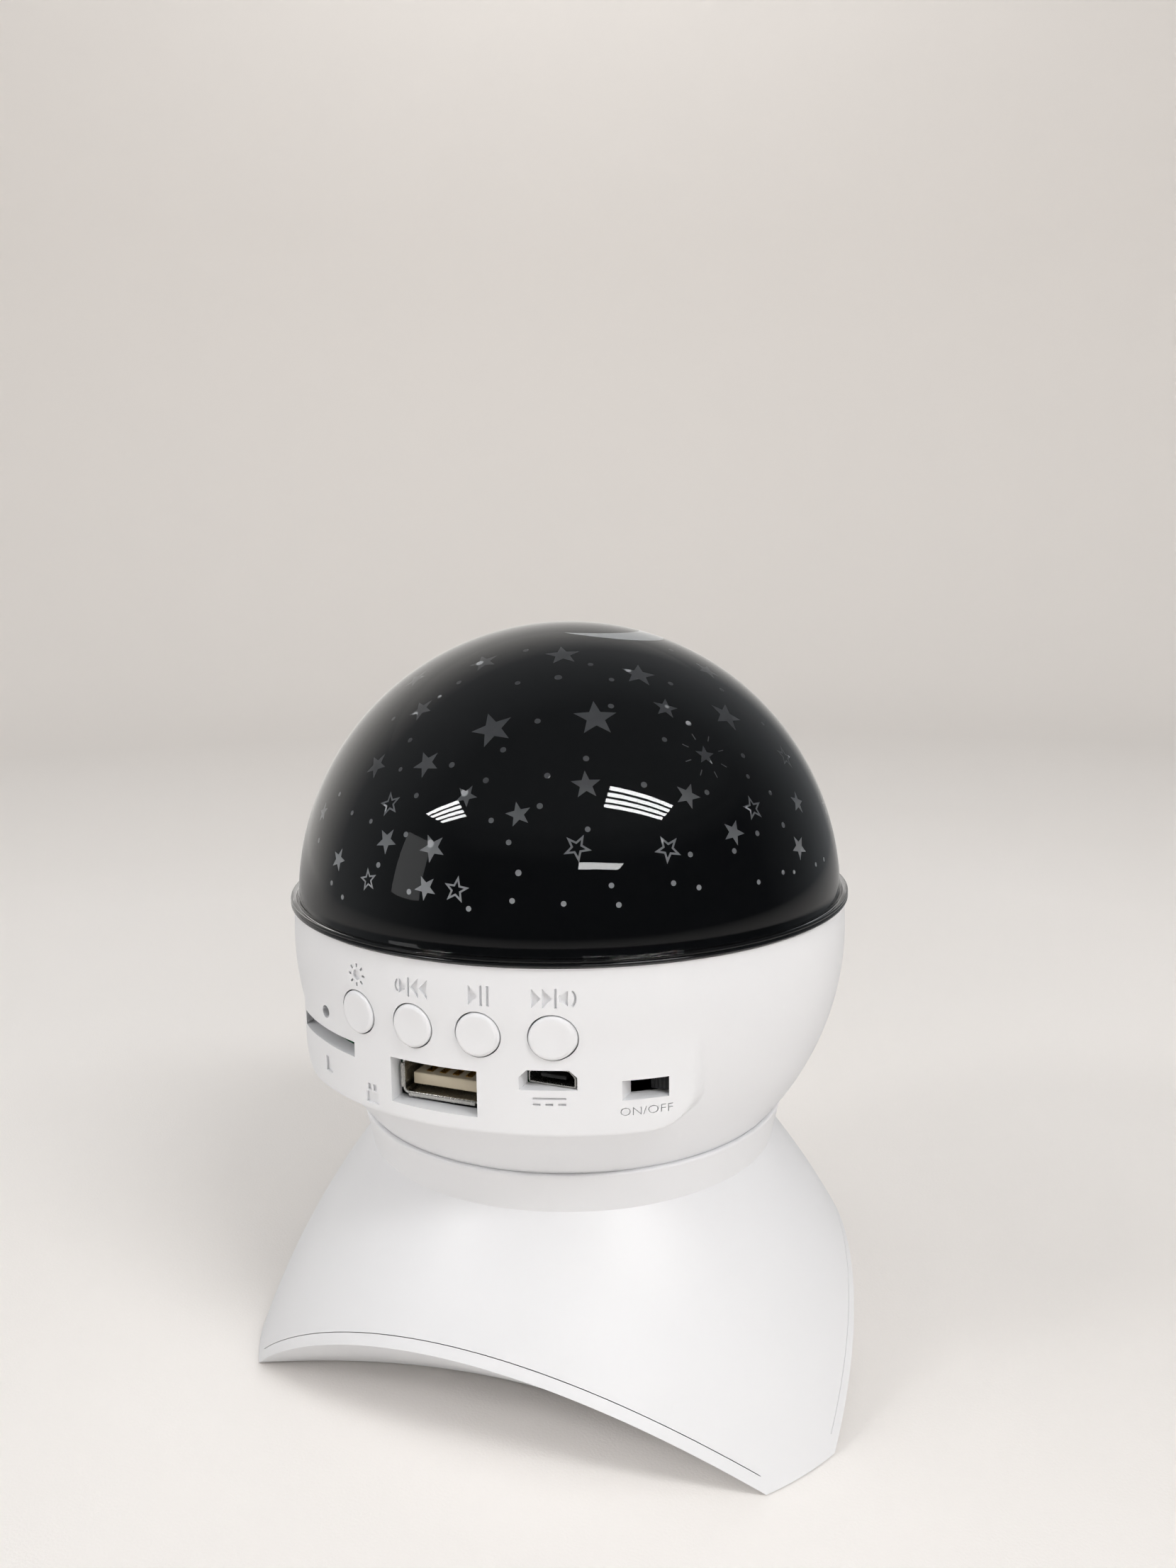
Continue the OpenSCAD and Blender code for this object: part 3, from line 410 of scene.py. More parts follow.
nodeFinish = {
    "dome_shell": "clearDome", "star_film": "blackInkPrinted", "dome_ring": "blackAbsPolished",
    "gear_ring": "acetalMoulded", "drive_pinion": "acetalMoulded", "output_shaft": "groundSteelShaft",
    "bowl_shell": "whiteAbsMoulded", "lamp_deck": "whiteAbsInside", "deck_screws": "zincPlatedSteel",
    "reflector_plate": "reflectorMoulded", "lamp_post": "whiteAbsInside", "led_board": "whiteMaskBoard",
    "star_leds": "epoxyResinCast", "lens_cap": "clearLensMoulded", "motor_gearbox": "nylonGreyMoulded",
    "motor_can": "nickelPlatedSteel", "motor_screws": "zincPlatedSteel",
    "lamp_button": "whiteAbsMoulded", "previous_button": "whiteAbsMoulded",
    "play_button": "whiteAbsMoulded", "next_button": "whiteAbsMoulded",
    "lamp_plunger": "nylonBlackMoulded", "previous_plunger": "nylonBlackMoulded",
    "play_plunger": "nylonBlackMoulded", "next_plunger": "nylonBlackMoulded",
    "button_board": "greenBoard", "tact_switches": "nickelPlatedSteel",
    "indicator_led": "epoxyResinGrey", "main_board": "greenBoard", "board_screws": "zincPlatedSteel",
    "board_parts": "epoxyChipMoulded", "usb_shell": "nickelPlatedSteel",
    "usb_tongue": "ivoryPolymerMoulded", "usb_contacts": "goldFlashedBronze",
    "micro_usb_shell": "nickelPlatedSteel", "micro_usb_tongue": "nylonBlackMoulded",
    "card_socket": "nickelPlatedSteel", "switch_case": "nickelPlatedSteel",
    "power_slider": "nylonBlackMoulded", "battery_cell": "pvcSleeveShrunk",
    "battery_holder": "nylonBlackMoulded", "neck_ring": "whiteAbsMoulded",
    "bowl_screws": "zincPlatedSteel", "stand_shell": "whiteAbsMoulded",
    "stand_cover": "whiteAbsMoulded", "cover_screws": "zincPlatedSteel",
    "foot_pads": "siliconePadMoulded", "speaker_gasket": "foamGasketCut",
    "speaker_frame": "powderCoatedSteel", "speaker_cone": "paperConePressed",
    "speaker_magnet": "ferriteSintered", "speaker_screws": "zincPlatedSteel",
}
for nodeName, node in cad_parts.items():
    node.data.materials.clear()
    node.data.materials.append(finishes[nodeFinish[nodeName]])
print("CAD nodes finished:", len(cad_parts))


# Dome, rim and star film

domeValues = {
    "inner": 45.42,  # just inside the film's face, so that no air shows between them
    "edgeRound": 0.26,
    "groove": ((0.06, -0.08), (0.3, -0.1), (0.4, 0.0)),  # parting groove at the dome's foot, out and up
    "tintFrom": 0.2,  # how far outside the inner face the flange's black begins
}


def arcPoints(centre, radius, start, end, count):
    # points on an arc in the (radius, height) plane, angles in degrees from the horizontal
    angles = [math.radians(start + (end - start) * k / count) for k in range(count + 1)]
    return [(centre[0] + radius * math.cos(a), centre[1] + radius * math.sin(a)) for a in angles]


def domeAngle(radius, height):
    return math.degrees(math.asin((height - lamp["domeCentre"]) / radius))


def makeDome(values):
    centre = (0, lamp["domeCentre"])
    low, high = lamp["ringTop"], lamp["flangeTop"]
    outer, inner, rim, edge = lamp["domeRadius"], values["inner"], lamp["rimRadius"], values["edgeRound"]
    profile = arcPoints(centre, outer, 90, domeAngle(outer, high + 0.02), 56)
    foot = profile[-1][0]
    profile += [(foot + out, high + up) for out, up in values["groove"]]
    profile += arcPoints((rim - edge, high - edge), edge, 90, 0, 5)
    profile += arcPoints((rim - edge, low + edge), edge, 0, -90, 5)
    profile += arcPoints(centre, inner, domeAngle(inner, low), 90, 48)
    bm = spun(profile, [(360, lamp["steps"])])
    for face in bm.faces:
        middle = face.calc_center_median()
        if middle.z < high + 0.01 and middle.xy.length > inner + values["tintFrom"]:
            face.material_index = 1  # the flange is tinted black
    return finished(scratchObject(bm), "domeShell", "dome",
                    [finishes["clearDome"], finishes["blackAbsPolished"]], ["dome_shell"])


ringValues = {"inner": 42.0, "edgeRound": 0.27, "gap": 0.02}


def makeBlackRing(values):
    low, high, edge = lamp["rimLow"], lamp["ringTop"] - values["gap"], values["edgeRound"]
    profile = [(values["inner"], low), (values["inner"], high)]
    profile += arcPoints((lamp["rimRadius"] - edge, high - edge), edge, 90, 0, 5)
    profile += arcPoints((lamp["rimRadius"] - edge, low + edge), edge, 0, -90, 5)
    bm = spun(profile, [(360, lamp["steps"])])
    return finished(scratchObject(bm), "blackRing", "dome",
                    [finishes["blackAbsPolished"]], ["dome_ring"])


filmValues = {
    "outer": 45.45, "thick": 0.4, "steps": 144,
    "deep": 3.0,  # length of the prisms that cut the windows
    "innerPoint": 0.42,  # how far in the notches of a star are
    "outlineWidth": 0.14,  # width of an outlined star's line, as a share of its radius
    # solid stars: azimuth from the front, elevation, radius, turn
    "solid": [(-15.4, 62.8, 2.4, -25), (21.0, 66.3, 2.82, 7), (50.5, 58.4, 2.78, -24),
              (-24.2, 47.8, 2.25, -17), (3.1, 44.5, 3.3, 28), (30.8, 47.2, 3.39, -1),
              (52.5, 48.7, 2.07, -25), (72.6, 45.0, 2.93, 30), (-27.8, 34.2, 2.24, -15),
              (-11.7, 36.1, 2.36, -32), (26.9, 32.9, 2.26, 2), (1.0, 30.4, 1.77, -22),
              (12.9, 27.3, 1.94, 15), (49.1, 29.6, 2.09, -31), (-16.0, 20.4, 2.04, -27),
              (-4.4, 20.2, 2.19, 32), (-4.8, 12.9, 1.88, 31), (-29.8, 14.8, 1.85, -14),
              (57.9, 21.6, 2.01, -30), (76.5, 15.9, 2.02, 23), (81.7, 24.1, 1.89, -20),
              (-43.6, 22.0, 1.66, 18), (88.0, 57.0, 2.3, 5), (-45.0, 55.0, 2.3, 12)],
    "outlined": [(-17.9, 27.3, 2.06, 21), (-19.1, 12.6, 1.84, 14), (1.7, 13.1, 2.06, -6),
                 (24.6, 21.2, 2.12, -29), (42.4, 20.1, 2.16, 25), (65.0, 25.4, 2.06, 2),
                 (87.1, 33.3, 2.22, -26), (101.0, 19.9, 2.05, -11)],
    "rayed": [(57.3, 37.2, 1.72, -14)],
    "dots": [(19.9, 58.4, .6), (1.0, 68.0, .46), (33.0, 62.5, .45), (85.4, 65.4, .47), (39.0, 57.3, .44),
             (5.7, 56.6, .44), (-17.8, 55.9, .45), (60.6, 55.0, .45), (35.9, 50.0, .48), (15.0, 46.6, .48),
             (7.4, 40.0, .47), (27.3, 38.2, .47), (18.5, 34.8, .46), (4.8, 33.6, .47), (-4.6, 36.3, .48),
             (17.2, 28.9, .46), (39.6, 32.4, .47), (7.4, 26.0, .41), (26.8, 24.5, .41), (11.4, 22.1, .41),
             (13.6, 16.7, .46), (12.6, 11.7, .41), (22.0, 11.3, .4), (30.8, 14.3, .4), (32.0, 10.8, .41),
             (42.7, 13.9, .41), (46.9, 18.7, .41), (47.8, 12.6, .41), (57.0, 18.2, .42), (64.1, 20.6, .43),
             (61.8, 11.7, .38), (69.2, 12.3, .38), (72.9, 20.9, .44), (72.4, 27.5, .39), (54.0, 29.8, .42),
             (69.1, 35.9, .44), (47.8, 41.4, .43), (57.1, 44.5, .49), (82.1, 51.3, .47), (87.8, 41.3, .41),
             (-8.4, 11.8, .42), (4.4, 9.9, .41), (-16.9, 15.7, .43), (-11.3, 22.1, .42), (-11.3, 29.6, .43),
             (-20.6, 40.6, .44), (-33.8, 44.6, .4), (-29.4, 24.1, .39), (-22.0, 23.4, .38), (-38.2, 26.7, .4),
             (-41.1, 16.6, .41), (-31.1, 10.0, .4), (-26.5, 8.1, .39), (82.1, 11.4, .35), (87.0, 11.4, .35),
             (72.8, 11.7, .33), (-18.8, 34.3, .38), (-20.8, 51.5, .39), (67.3, 31.6, .38)],
    # the moon near the top: centre and radius of its disc, and of the disc taken from it
    "moon": ((5.0, 1.6), 10.8, (1.2, 1.15), 10.5),
    "moonHeights": (118, 130),
    # the rayed star's eight rays: length, width and distance as shares of its radius, turn
    "rays": (0.62, 0.1, 1.95, 22),
}
# The side away from the photo follows the same mix: azimuths, sines of the elevation, sizes
hiddenValues = {
    "seed": 11, "azimuths": (112, 298), "sines": (0.13, 0.93), "stars": 34, "dots": 70,
    "starRadius": (1.8, 2.3), "highExtra": 0.8, "highFrom": 44, "dotRadius": (0.38, 0.48), "gap": 0.9,
    "kinds": ["solid", "solid", "outlined"], "tries": 4000,
}


def onFilm(azimuth, elevation, radius):
    # frame on the film: x east, y towards the pole, z outwards
    a, e = math.radians(azimuth), math.radians(elevation)
    out = Vector((math.cos(e) * math.sin(a), -math.cos(e) * math.cos(a), math.sin(e)))
    east = Vector((math.cos(a), math.sin(a), 0))
    turn = Matrix((east, out.cross(east), out)).transposed().to_4x4()
    return Matrix.Translation(out * radius + Vector((0, 0, lamp["domeCentre"]))) @ turn


def starOutline(bm, radius, turn, innerPoint):
    made = bmesh.ops.create_circle(bm, cap_ends=True, segments=10, radius=radius)["verts"]
    for k, vert in enumerate(made):
        angle = math.radians(90 + turn + 36 * k)
        reach = radius if k % 2 == 0 else radius * innerPoint
        vert.co = (reach * math.cos(angle), reach * math.sin(angle), 0)


def makeWindow(kind, values, azimuth, elevation, radius, turn=0.0):
    # one window's outline, drawn flat and made a prism that goes through the film
    bm = bmesh.new()
    if kind == "dot":
        bmesh.ops.create_circle(bm, cap_ends=True, segments=14, radius=radius)
    else:
        starOutline(bm, radius, turn, values["innerPoint"])
    if kind == "outlined":
        bmesh.ops.inset_region(bm, faces=bm.faces[:], thickness=radius * values["outlineWidth"],
                               use_even_offset=True, use_boundary=True)
        middle = [face for face in bm.faces if len(face.verts) == 10]
        bmesh.ops.delete(bm, geom=middle, context="FACES")
    if kind == "rayed":
        long, wide, away, aside = values["rays"]
        for k in range(8):
            ray = bmesh.ops.create_grid(bm, x_segments=1, y_segments=1, size=0.5)["verts"]
            bmesh.ops.scale(bm, vec=(radius * wide, radius * long, 1), verts=ray)
            bmesh.ops.translate(bm, vec=(0, radius * away, 0), verts=ray)
            bmesh.ops.rotate(bm, cent=(0, 0, 0), verts=ray,
                             matrix=Matrix.Rotation(math.radians(45 * k + turn + aside), 3, "Z"))
    raised = bmesh.ops.extrude_face_region(bm, geom=bm.faces[:])["geom"]
    bmesh.ops.translate(bm, vec=(0, 0, values["deep"]), verts=vertsOf(raised))
    bmesh.ops.recalc_face_normals(bm, faces=bm.faces)
    bmesh.ops.transform(bm, verts=bm.verts,
                        matrix=onFilm(azimuth, elevation, values["outer"] - values["deep"] / 2))
    return bm


def hiddenPattern(values, hidden):
    # seeded stars and dots for the far side, none closer to another than the sum of their sizes
    rng = random.Random(hidden["seed"])
    placed = [(a, e, r) for a, e, r, t in values["solid"] + values["outlined"]] + values["dots"]
    placed = [(onFilm(a, e, values["outer"]).translation, r) for a, e, r in placed]
    made = []
    for kind, count in (("star", hidden["stars"]), ("dot", hidden["dots"])):
        tries = 0
        while count and tries < hidden["tries"]:
            tries += 1
            azimuth = rng.uniform(*hidden["azimuths"])
            elevation = math.degrees(math.asin(rng.uniform(*hidden["sines"])))
            radius = rng.uniform(*hidden[kind + "Radius"])
            if kind == "star" and elevation > hidden["highFrom"]:
                radius += hidden["highExtra"]
            place = onFilm(azimuth, elevation, values["outer"]).translation
            if all((place - other).length > radius + size + hidden["gap"] for other, size in placed):
                placed.append((place, radius))
                shape = "dot" if kind == "dot" else rng.choice(hidden["kinds"])
                made.append((shape, azimuth, elevation, radius, rng.uniform(-36, 36)))
                count -= 1
    return made


def makeMoon(values):
    # seen from above: one disc less another, as an upright prism at the top of the film
    bigAt, big, smallAt, small = values["moon"]
    low, high = values["moonHeights"]
    solids = []
    for (x, y), radius, more in ((bigAt, big, 0), (smallAt, small, 1)):
        bm = bmesh.new()
        upright(bm, x, y, radius, low - more, high + more, 72)
        solids.append(scratchObject(bm))
    cutWith(solids[0], solids[1])
    return solids[0]


def makeFilm(values, hidden):
    outer, inner = values["outer"], values["outer"] - values["thick"]
    centre = (0, lamp["domeCentre"])
    profile = arcPoints(centre, outer, 90, domeAngle(outer, lamp["ringTop"]), 48)
    profile += arcPoints(centre, inner, domeAngle(inner, lamp["ringTop"]), 90, 48)
    film, windows = [scratchObject(spun(profile, [(360, values["steps"])])) for k in range(2)]
    bm = bmesh.new()
    shapes = [(kind,) + item for kind in ("solid", "outlined", "rayed") for item in values[kind]]
    shapes += [("dot",) + item for item in values["dots"]] + hiddenPattern(values, hidden)
    for shape in shapes:
        pour(makeWindow(shape[0], values, *shape[1:]), bm)
    moon = makeMoon(values)
    bm.from_mesh(moon.data)
    bpy.data.objects.remove(moon)
    cutter = scratchObject(bm)
    cutWith(film, cutter, keepCutter=True)
    cutWith(windows, cutter, "INTERSECT")
    finished(film, "starFilm", "dome", [finishes["blackInkPrinted"]], ["star_film"])
    finished(windows, "starWindows", "dome",
             [finishes["starWindow"], finishes["moonFilmPaintedLight"]], ["star_film"])
    moonAt, moonReach = values["moon"][:2]
    for face in windows.data.polygons:
        away = math.dist((face.center.x / mm, face.center.y / mm), moonAt)
        face.material_index = 1 if away < moonReach + 0.1 else 0
    print("star windows:", len(shapes) + 1)


makeDome(domeValues)
makeBlackRing(ringValues)
makeFilm(filmValues, hiddenValues)
print("dome, rim and film made")


# Ball with its control panel

bowlValues = {
    "wall": 2.0, "bottom": 38.6, "top": 81.34, "hole": 8.0,
    "deckRadius": 45.4, "deckHeight": 76.44,
    "panel": {"radius": 47.2, "inner": 44.2, "halfWidth": 34.0, "bottom": 55.64, "corner": 6.0},
    "edgeRound": 1.0, "innerRound": 0.3, "ramp": 0.35,
    # degrees and steps round the ball from -X past its front, and rows up it, close where the panel's
    # edges run
    "sectors": [(36, 12), (10.4, 26), (87.2, 70), (10.4, 26), (216, 72)],
    "rows": {"below": 16, "edge": 40, "above": 27, "inside": 46},
    # width, height and how near to the axis the cut starts; the cuts end in front of the panel
    "windows": {"usb": (14.7, 7.0, 22), "card": (15.4, 2.4, 27), "switch": (5.7, 3.0, 22),
                "micro": (8.0, 3.0, 22)},
    "microChamfer": 1.1, "cutEnd": 50,
    # radius and start of the round holes
    "indicatorHole": (1.0, 22), "buttonHole": (3.5, 36),
    "deckPosts": (3.4, 42.0, (45, 135, -145, -35), 67.44, 76.44),  # radius, circle, angles, heights
    "boardPosts": (2.8, ((-12, -33), (8, -33), (-27, -10), (27, -10)), 61.89),  # radius, places, top
    "screwPosts": (3.4, 22.0, (-30, 90, 210), 45.6),  # radius, circle, angles, top
    "postsFrom": 40,  # height inside the ball's wall
    "guide": (4.9, 38.0),  # radius round a button, start
    "cardGuide": (0.5, 1.6, 1.0, 29.53),  # lift, more width, more height, start
    "guideLimit": (45.2, 50, 76.4),  # radius and heights that the guides stay inside
}


def ballRadius(z, radius):
    return math.sqrt(max(0.01, radius ** 2 - (z - lamp["ballCentre"]) ** 2))


def insideOutline(x, z, halfWidth, bottom, corner):
    # distance inside the panel's rounded front outline, open at the top
    across, up = halfWidth - abs(x), z - bottom
    if across < corner and up < corner:
        return corner - math.hypot(corner - across, corner - up)
    return min(across, up)


def raisePanel(bm, values):
    # moves the front of the ball's wall forwards to the panel's face, outside and inside
    panel = values["panel"]
    for vert in bm.verts:
        x, y, z = vert.co
        if y > 0 or abs(x) > panel["halfWidth"] + 1 or z < panel["bottom"] - 1:
            continue
        outside = math.hypot(x, y) > ballRadius(z, lamp["ballRadius"]) - values["wall"] / 2
        less = 0 if outside else values["wall"]
        deep = insideOutline(x, z, panel["halfWidth"] - less, panel["bottom"] + less,
                             panel["corner"] - less / 2)
        face = -math.sqrt((panel["radius"] if outside else panel["inner"]) ** 2 - x * x)
        if deep <= 0 or face >= y:
            continue
        soft = values["edgeRound"] if outside else values["innerRound"]
        into = min(1, deep / soft)
        drop = soft * (1 - math.sqrt(1 - (1 - into) ** 2)) * smoothStep(-0.2, 1.5, y - face)
        vert.co.y = y + (min(y, face + drop) - y) * min(1, deep / values["ramp"])


def prism(bm, outline, near, far):
    # a bar along Y with a flat outline of (x, z), between y = near and y = far
    face = bm.faces.new([bm.verts.new((x, near, z)) for x, z in outline])
    moved = vertsOf(bmesh.ops.extrude_face_region(bm, geom=[face])["geom"])
    bmesh.ops.translate(bm, vec=(0, far - near, 0), verts=moved)


def rectangle(x, z, width, height):
    w, h = width / 2, height / 2
    return [(x - w, z - h), (x + w, z - h), (x + w, z + h), (x - w, z + h)]


def chamfered(x, z, width, height, cut):
    # a rectangle whose two upper corners are cut off
    w, h = width / 2, height / 2
    return [(x - w, z - h), (x + w, z - h), (x + w, z + h - cut), (x + w - cut, z + h),
            (x - w + cut, z + h), (x - w, z + h - cut)]


def addWindows(bm, values):
    end = values["cutEnd"]
    for name, (width, height, near) in values["windows"].items():
        outline = rectangle(*panelPlaces[name], width, height)
        if name == "micro":
            outline = chamfered(*panelPlaces[name], width, height, values["microChamfer"])
        prism(bm, outline, -near, -end)
    radius, near = values["indicatorHole"]
    barAlongY(bm, *panelPlaces["indicator"], radius, near, end, 32)
    radius, near = values["buttonHole"]
    for x in buttonPlaces.values():
        barAlongY(bm, x, buttonHeight, radius, near, end, 72)


# Signs pressed into the panel
signValues = {
    "depth": 0.42, "proud": 1.2,
    "tall": 2.9, "playTall": 3.0, "line": 0.34, "bars": (0.36, 0.42),
    "high": {"radius": 47.55, "height": 77.05,
             "sun": -15.9, "previous": -5.1, "play": 5.75, "next": 16.35},
    "low": {"radius": 47.2, "card": (-24.4, 60.1), "plug": (-13.7, 58.6), "direct": (15.4, 61.4),
            "words": (27.85, 59.5), "wordsWidth": 6.4},
}


def wrapped(bm, radius, centre, values):
    # a flat cutter with y from 0 to 1, wrapped round the lamp's axis and pressed in at its far side
    for vert in bm.verts:
        x, z = vert.co.x + centre[0], vert.co.z + centre[1]
        reach = radius - values["depth"] if vert.co.y > 0.5 else radius + values["proud"]
        vert.co = (x, -math.sqrt(reach ** 2 - x * x), z)
    bmesh.ops.recalc_face_normals(bm, faces=bm.faces)
    return bm


def signPrisms(outlines):
    bm = bmesh.new()
    for outline in outlines:
        prism(bm, outline, 0, 1)
    bmesh.ops.recalc_face_normals(bm, faces=bm.faces)
    return bm


def arrow(x, width, height):
    # a transport triangle whose base is at x and whose point is width further
    return [(x, -height / 2), (x, height / 2), (x + width, 0)]


def wave(x, side, radius, width, reach):
    # a sound wave: part of a ring that opens towards side
    angles = [math.radians(-reach + 2 * reach * k / 8) for k in range(9)]
    outer = [(x + side * radius * math.cos(a), radius * math.sin(a)) for a in angles]
    inner = [(x + side * (radius - width) * math.cos(a), (radius - width) * math.sin(a)) for a in angles]
    return outer + inner[::-1]


def mouth(x, side):
    # a loudspeaker seen from the side
    return [(x, -0.5), (x + side * 0.35, -0.5), (x + side * 1.15, -1.15), (x + side * 1.15, 1.15),
            (x + side * 0.35, 0.5), (x, 0.5)]


def signOutlines(values):
    # filled outlines in millimetres round each sign's own centre
    disc = [(0.8 * math.cos(tau * k / 20), 0.8 * math.sin(tau * k / 20)) for k in range(20)]
    rays = []
    for k in range(8):
        a = tau * k / 8
        along, side = Vector((math.cos(a), math.sin(a))), Vector((-math.sin(a), math.cos(a))) * 0.17
        rays.append([tuple(along * 1.15 - side), tuple(along * 1.75 - side), tuple(along * 1.75 + side),
                     tuple(along * 1.15 + side)])
    tall, playTall, line = values["tall"], values["playTall"], values["line"]
    thin, thick = values["bars"]
    return {
        "sun": [disc] + rays,
        "previous": [arrow(1.1, -1.35, tall), arrow(2.65, -1.35, tall), rectangle(-0.55, 0, thin, tall),
                     mouth(-1.15, -1), wave(-1.7, -1, 1.35, line, 48)],
        "play": [arrow(-1.6, 1.45, playTall), rectangle(0.35, 0, thick, playTall),
                 rectangle(1.35, 0, thick, playTall)],
        "next": [arrow(-3.05, 1.35, tall), arrow(-1.55, 1.35, tall), rectangle(0.25, 0, thin, tall),
                 mouth(0.75, 1), wave(1.3, 1, 1.75, line, 44)],
        "card": [[(-0.9, -1.2), (0.9, -1.2), (0.9, 0.65), (0.35, 1.2), (-0.9, 1.2)]],
        "plug": [rectangle(0, -0.6, 2.6, 1.8)] + [rectangle(x, 1.075, 0.7, 1.05) for x in (-0.55, 0.55)],
        "direct": [rectangle(0, 0.55, 4.6, line)]
        + [rectangle(x, -0.35, 1.1, line) for x in (-1.75, 0, 1.75)],
    }


def switchWords(values):
    # the words on the power switch, as a flat cutter like the signs'
    curve = bpy.data.curves.new("words", "FONT")
    curve.body = "ON/OFF"
    curve.align_x = curve.align_y = "CENTER"
    curve.resolution_u = 3
    curve.offset = -0.012
    text = bpy.data.objects.new("words", curve)
    bpy.context.scene.collection.objects.link(text)
    mesh = bpy.data.meshes.new_from_object(text.evaluated_get(bpy.context.evaluated_depsgraph_get()))
    bpy.data.objects.remove(text)
    bm = bmesh.new()
    bm.from_mesh(mesh)
    width = max(v.co.x for v in bm.verts) - min(v.co.x for v in bm.verts)
    grow = values["low"]["wordsWidth"] / width
    raised = bmesh.ops.extrude_face_region(bm, geom=bm.faces[:])["geom"]
    bmesh.ops.translate(bm, vec=(0, 0, 1), verts=vertsOf(raised))
    bmesh.ops.remove_doubles(bm, verts=bm.verts, dist=0.0005)
    bmesh.ops.recalc_face_normals(bm, faces=bm.faces)
    for vert in bm.verts:
        vert.co = (vert.co.x * grow, 1 - vert.co.z, vert.co.y * grow)
    return bm


def addSigns(target, values):
    high, low = values["high"], values["low"]
    pour(wrapped(switchWords(values), low["radius"], low["words"], values), target)
    for name, outlines in signOutlines(values).items():
        row = high if name in high else low
        centre = (high[name], high["height"]) if row is high else low[name]
        pour(wrapped(signPrisms(outlines), row["radius"], centre, values), target)


def innerPosts(values):
    # the posts and bosses inside the ball, trimmed to its wall
    bm = bmesh.new()
    radius, at, angles, low, high = values["deckPosts"]
    for x, y in around(angles, at):
        upright(bm, x, y, radius, low, high)
    radius, places, high = values["boardPosts"]
    for x, y in places:
        upright(bm, x, y, radius, values["postsFrom"], high)
    radius, at, angles, high = values["screwPosts"]
    for x, y in around(angles, at):
        upright(bm, x, y, radius, values["postsFrom"], high)
    posts = scratchObject(bm)
    limit = bmesh.new()
    bmesh.ops.create_uvsphere(limit, u_segments=96, v_segments=64, radius=lamp["ballRadius"] - 1.0,
                              matrix=Matrix.Translation((0, 0, lamp["ballCentre"])))
    cutWith(posts, scratchObject(limit), "INTERSECT")
    return posts


def innerGuides(values, cutter):
    # collars round the buttons and the channel of the card slot, trimmed to the panel's wall
    radius, near = values["guide"]
    end = values["cutEnd"]
    collars = bmesh.new()
    for x in buttonPlaces.values():
        barAlongY(collars, x, buttonHeight, radius, near, end)
    channel = bmesh.new()
    x, z = panelPlaces["card"]
    width, height = values["windows"]["card"][:2]
    lift, moreWidth, moreHeight, near = values["cardGuide"]
    prism(channel, rectangle(x, z + lift, width + moreWidth, height + moreHeight), -near, -end)
    bmesh.ops.recalc_face_normals(channel, faces=channel.faces)
    parts = [scratchObject(collars), scratchObject(channel)]
    for part in parts:
        limit = bmesh.new()
        upright(limit, 0, 0, *values["guideLimit"], 240)
        cutWith(part, scratchObject(limit), "INTERSECT")
        cutWith(part, cutter, keepCutter=True)
    return parts


def joinInto(obj, others):
    bm = bmesh.new()
    bm.from_mesh(obj.data)
    for other in others:
        bm.from_mesh(other.data)
        bpy.data.objects.remove(other)
    bm.to_mesh(obj.data)
    bm.free()


def makeBowl(values):
    panel = values["panel"]
    ball, inner = lamp["ballRadius"], lamp["ballRadius"] - values["wall"]
    floor = values["bottom"] + values["wall"]
    # rows stand close from just below the panel's lower edge to just above its round corners
    fineLow, fineHigh = panel["bottom"] - 0.8, panel["bottom"] + panel["corner"] + 0.3
    rows = values["rows"]
    heights = evenly(values["bottom"], fineLow, rows["below"])[:-1]
    heights += evenly(fineLow, fineHigh, rows["edge"])[:-1]
    heights += evenly(fineHigh, values["top"], rows["above"])
    profile = [(values["hole"], values["bottom"])] + [(ballRadius(z, ball), z) for z in heights]
    profile += [(values["deckRadius"], values["top"]), (values["deckRadius"], values["deckHeight"])]
    profile += [(ballRadius(z, inner), z) for z in evenly(values["deckHeight"], floor, rows["inside"])]
    profile.append((values["hole"], floor))
    bm = spun(profile, values["sectors"], start=-180)
    raisePanel(bm, values)
    bowl = scratchObject(bm)
    cuts = bmesh.new()
    addWindows(cuts, values)
    bmesh.ops.recalc_face_normals(cuts, faces=cuts.faces)
    windows = scratchObject(cuts)
    guides = innerGuides(values, windows)
    cutWith(bowl, windows)
    signs = bmesh.new()
    addSigns(signs, signValues)
    cutWith(bowl, scratchObject(signs))
    joinInto(bowl, [innerPosts(values)] + guides)
    return finished(bowl, "bowlShell", "housing", [finishes["whiteAbsMoulded"]],
                    ["bowl_shell"])


buttonValues = {
    "radius": 3.3, "edgeRound": 0.62, "faceRadius": 47.9, "dish": 0.14,
    "flangeRadius": 3.9, "flangeFront": 37.7, "flangeBack": 36.7,
    "rings": (0, 0.8, 1.6, 2.2), "steps": 64,
}


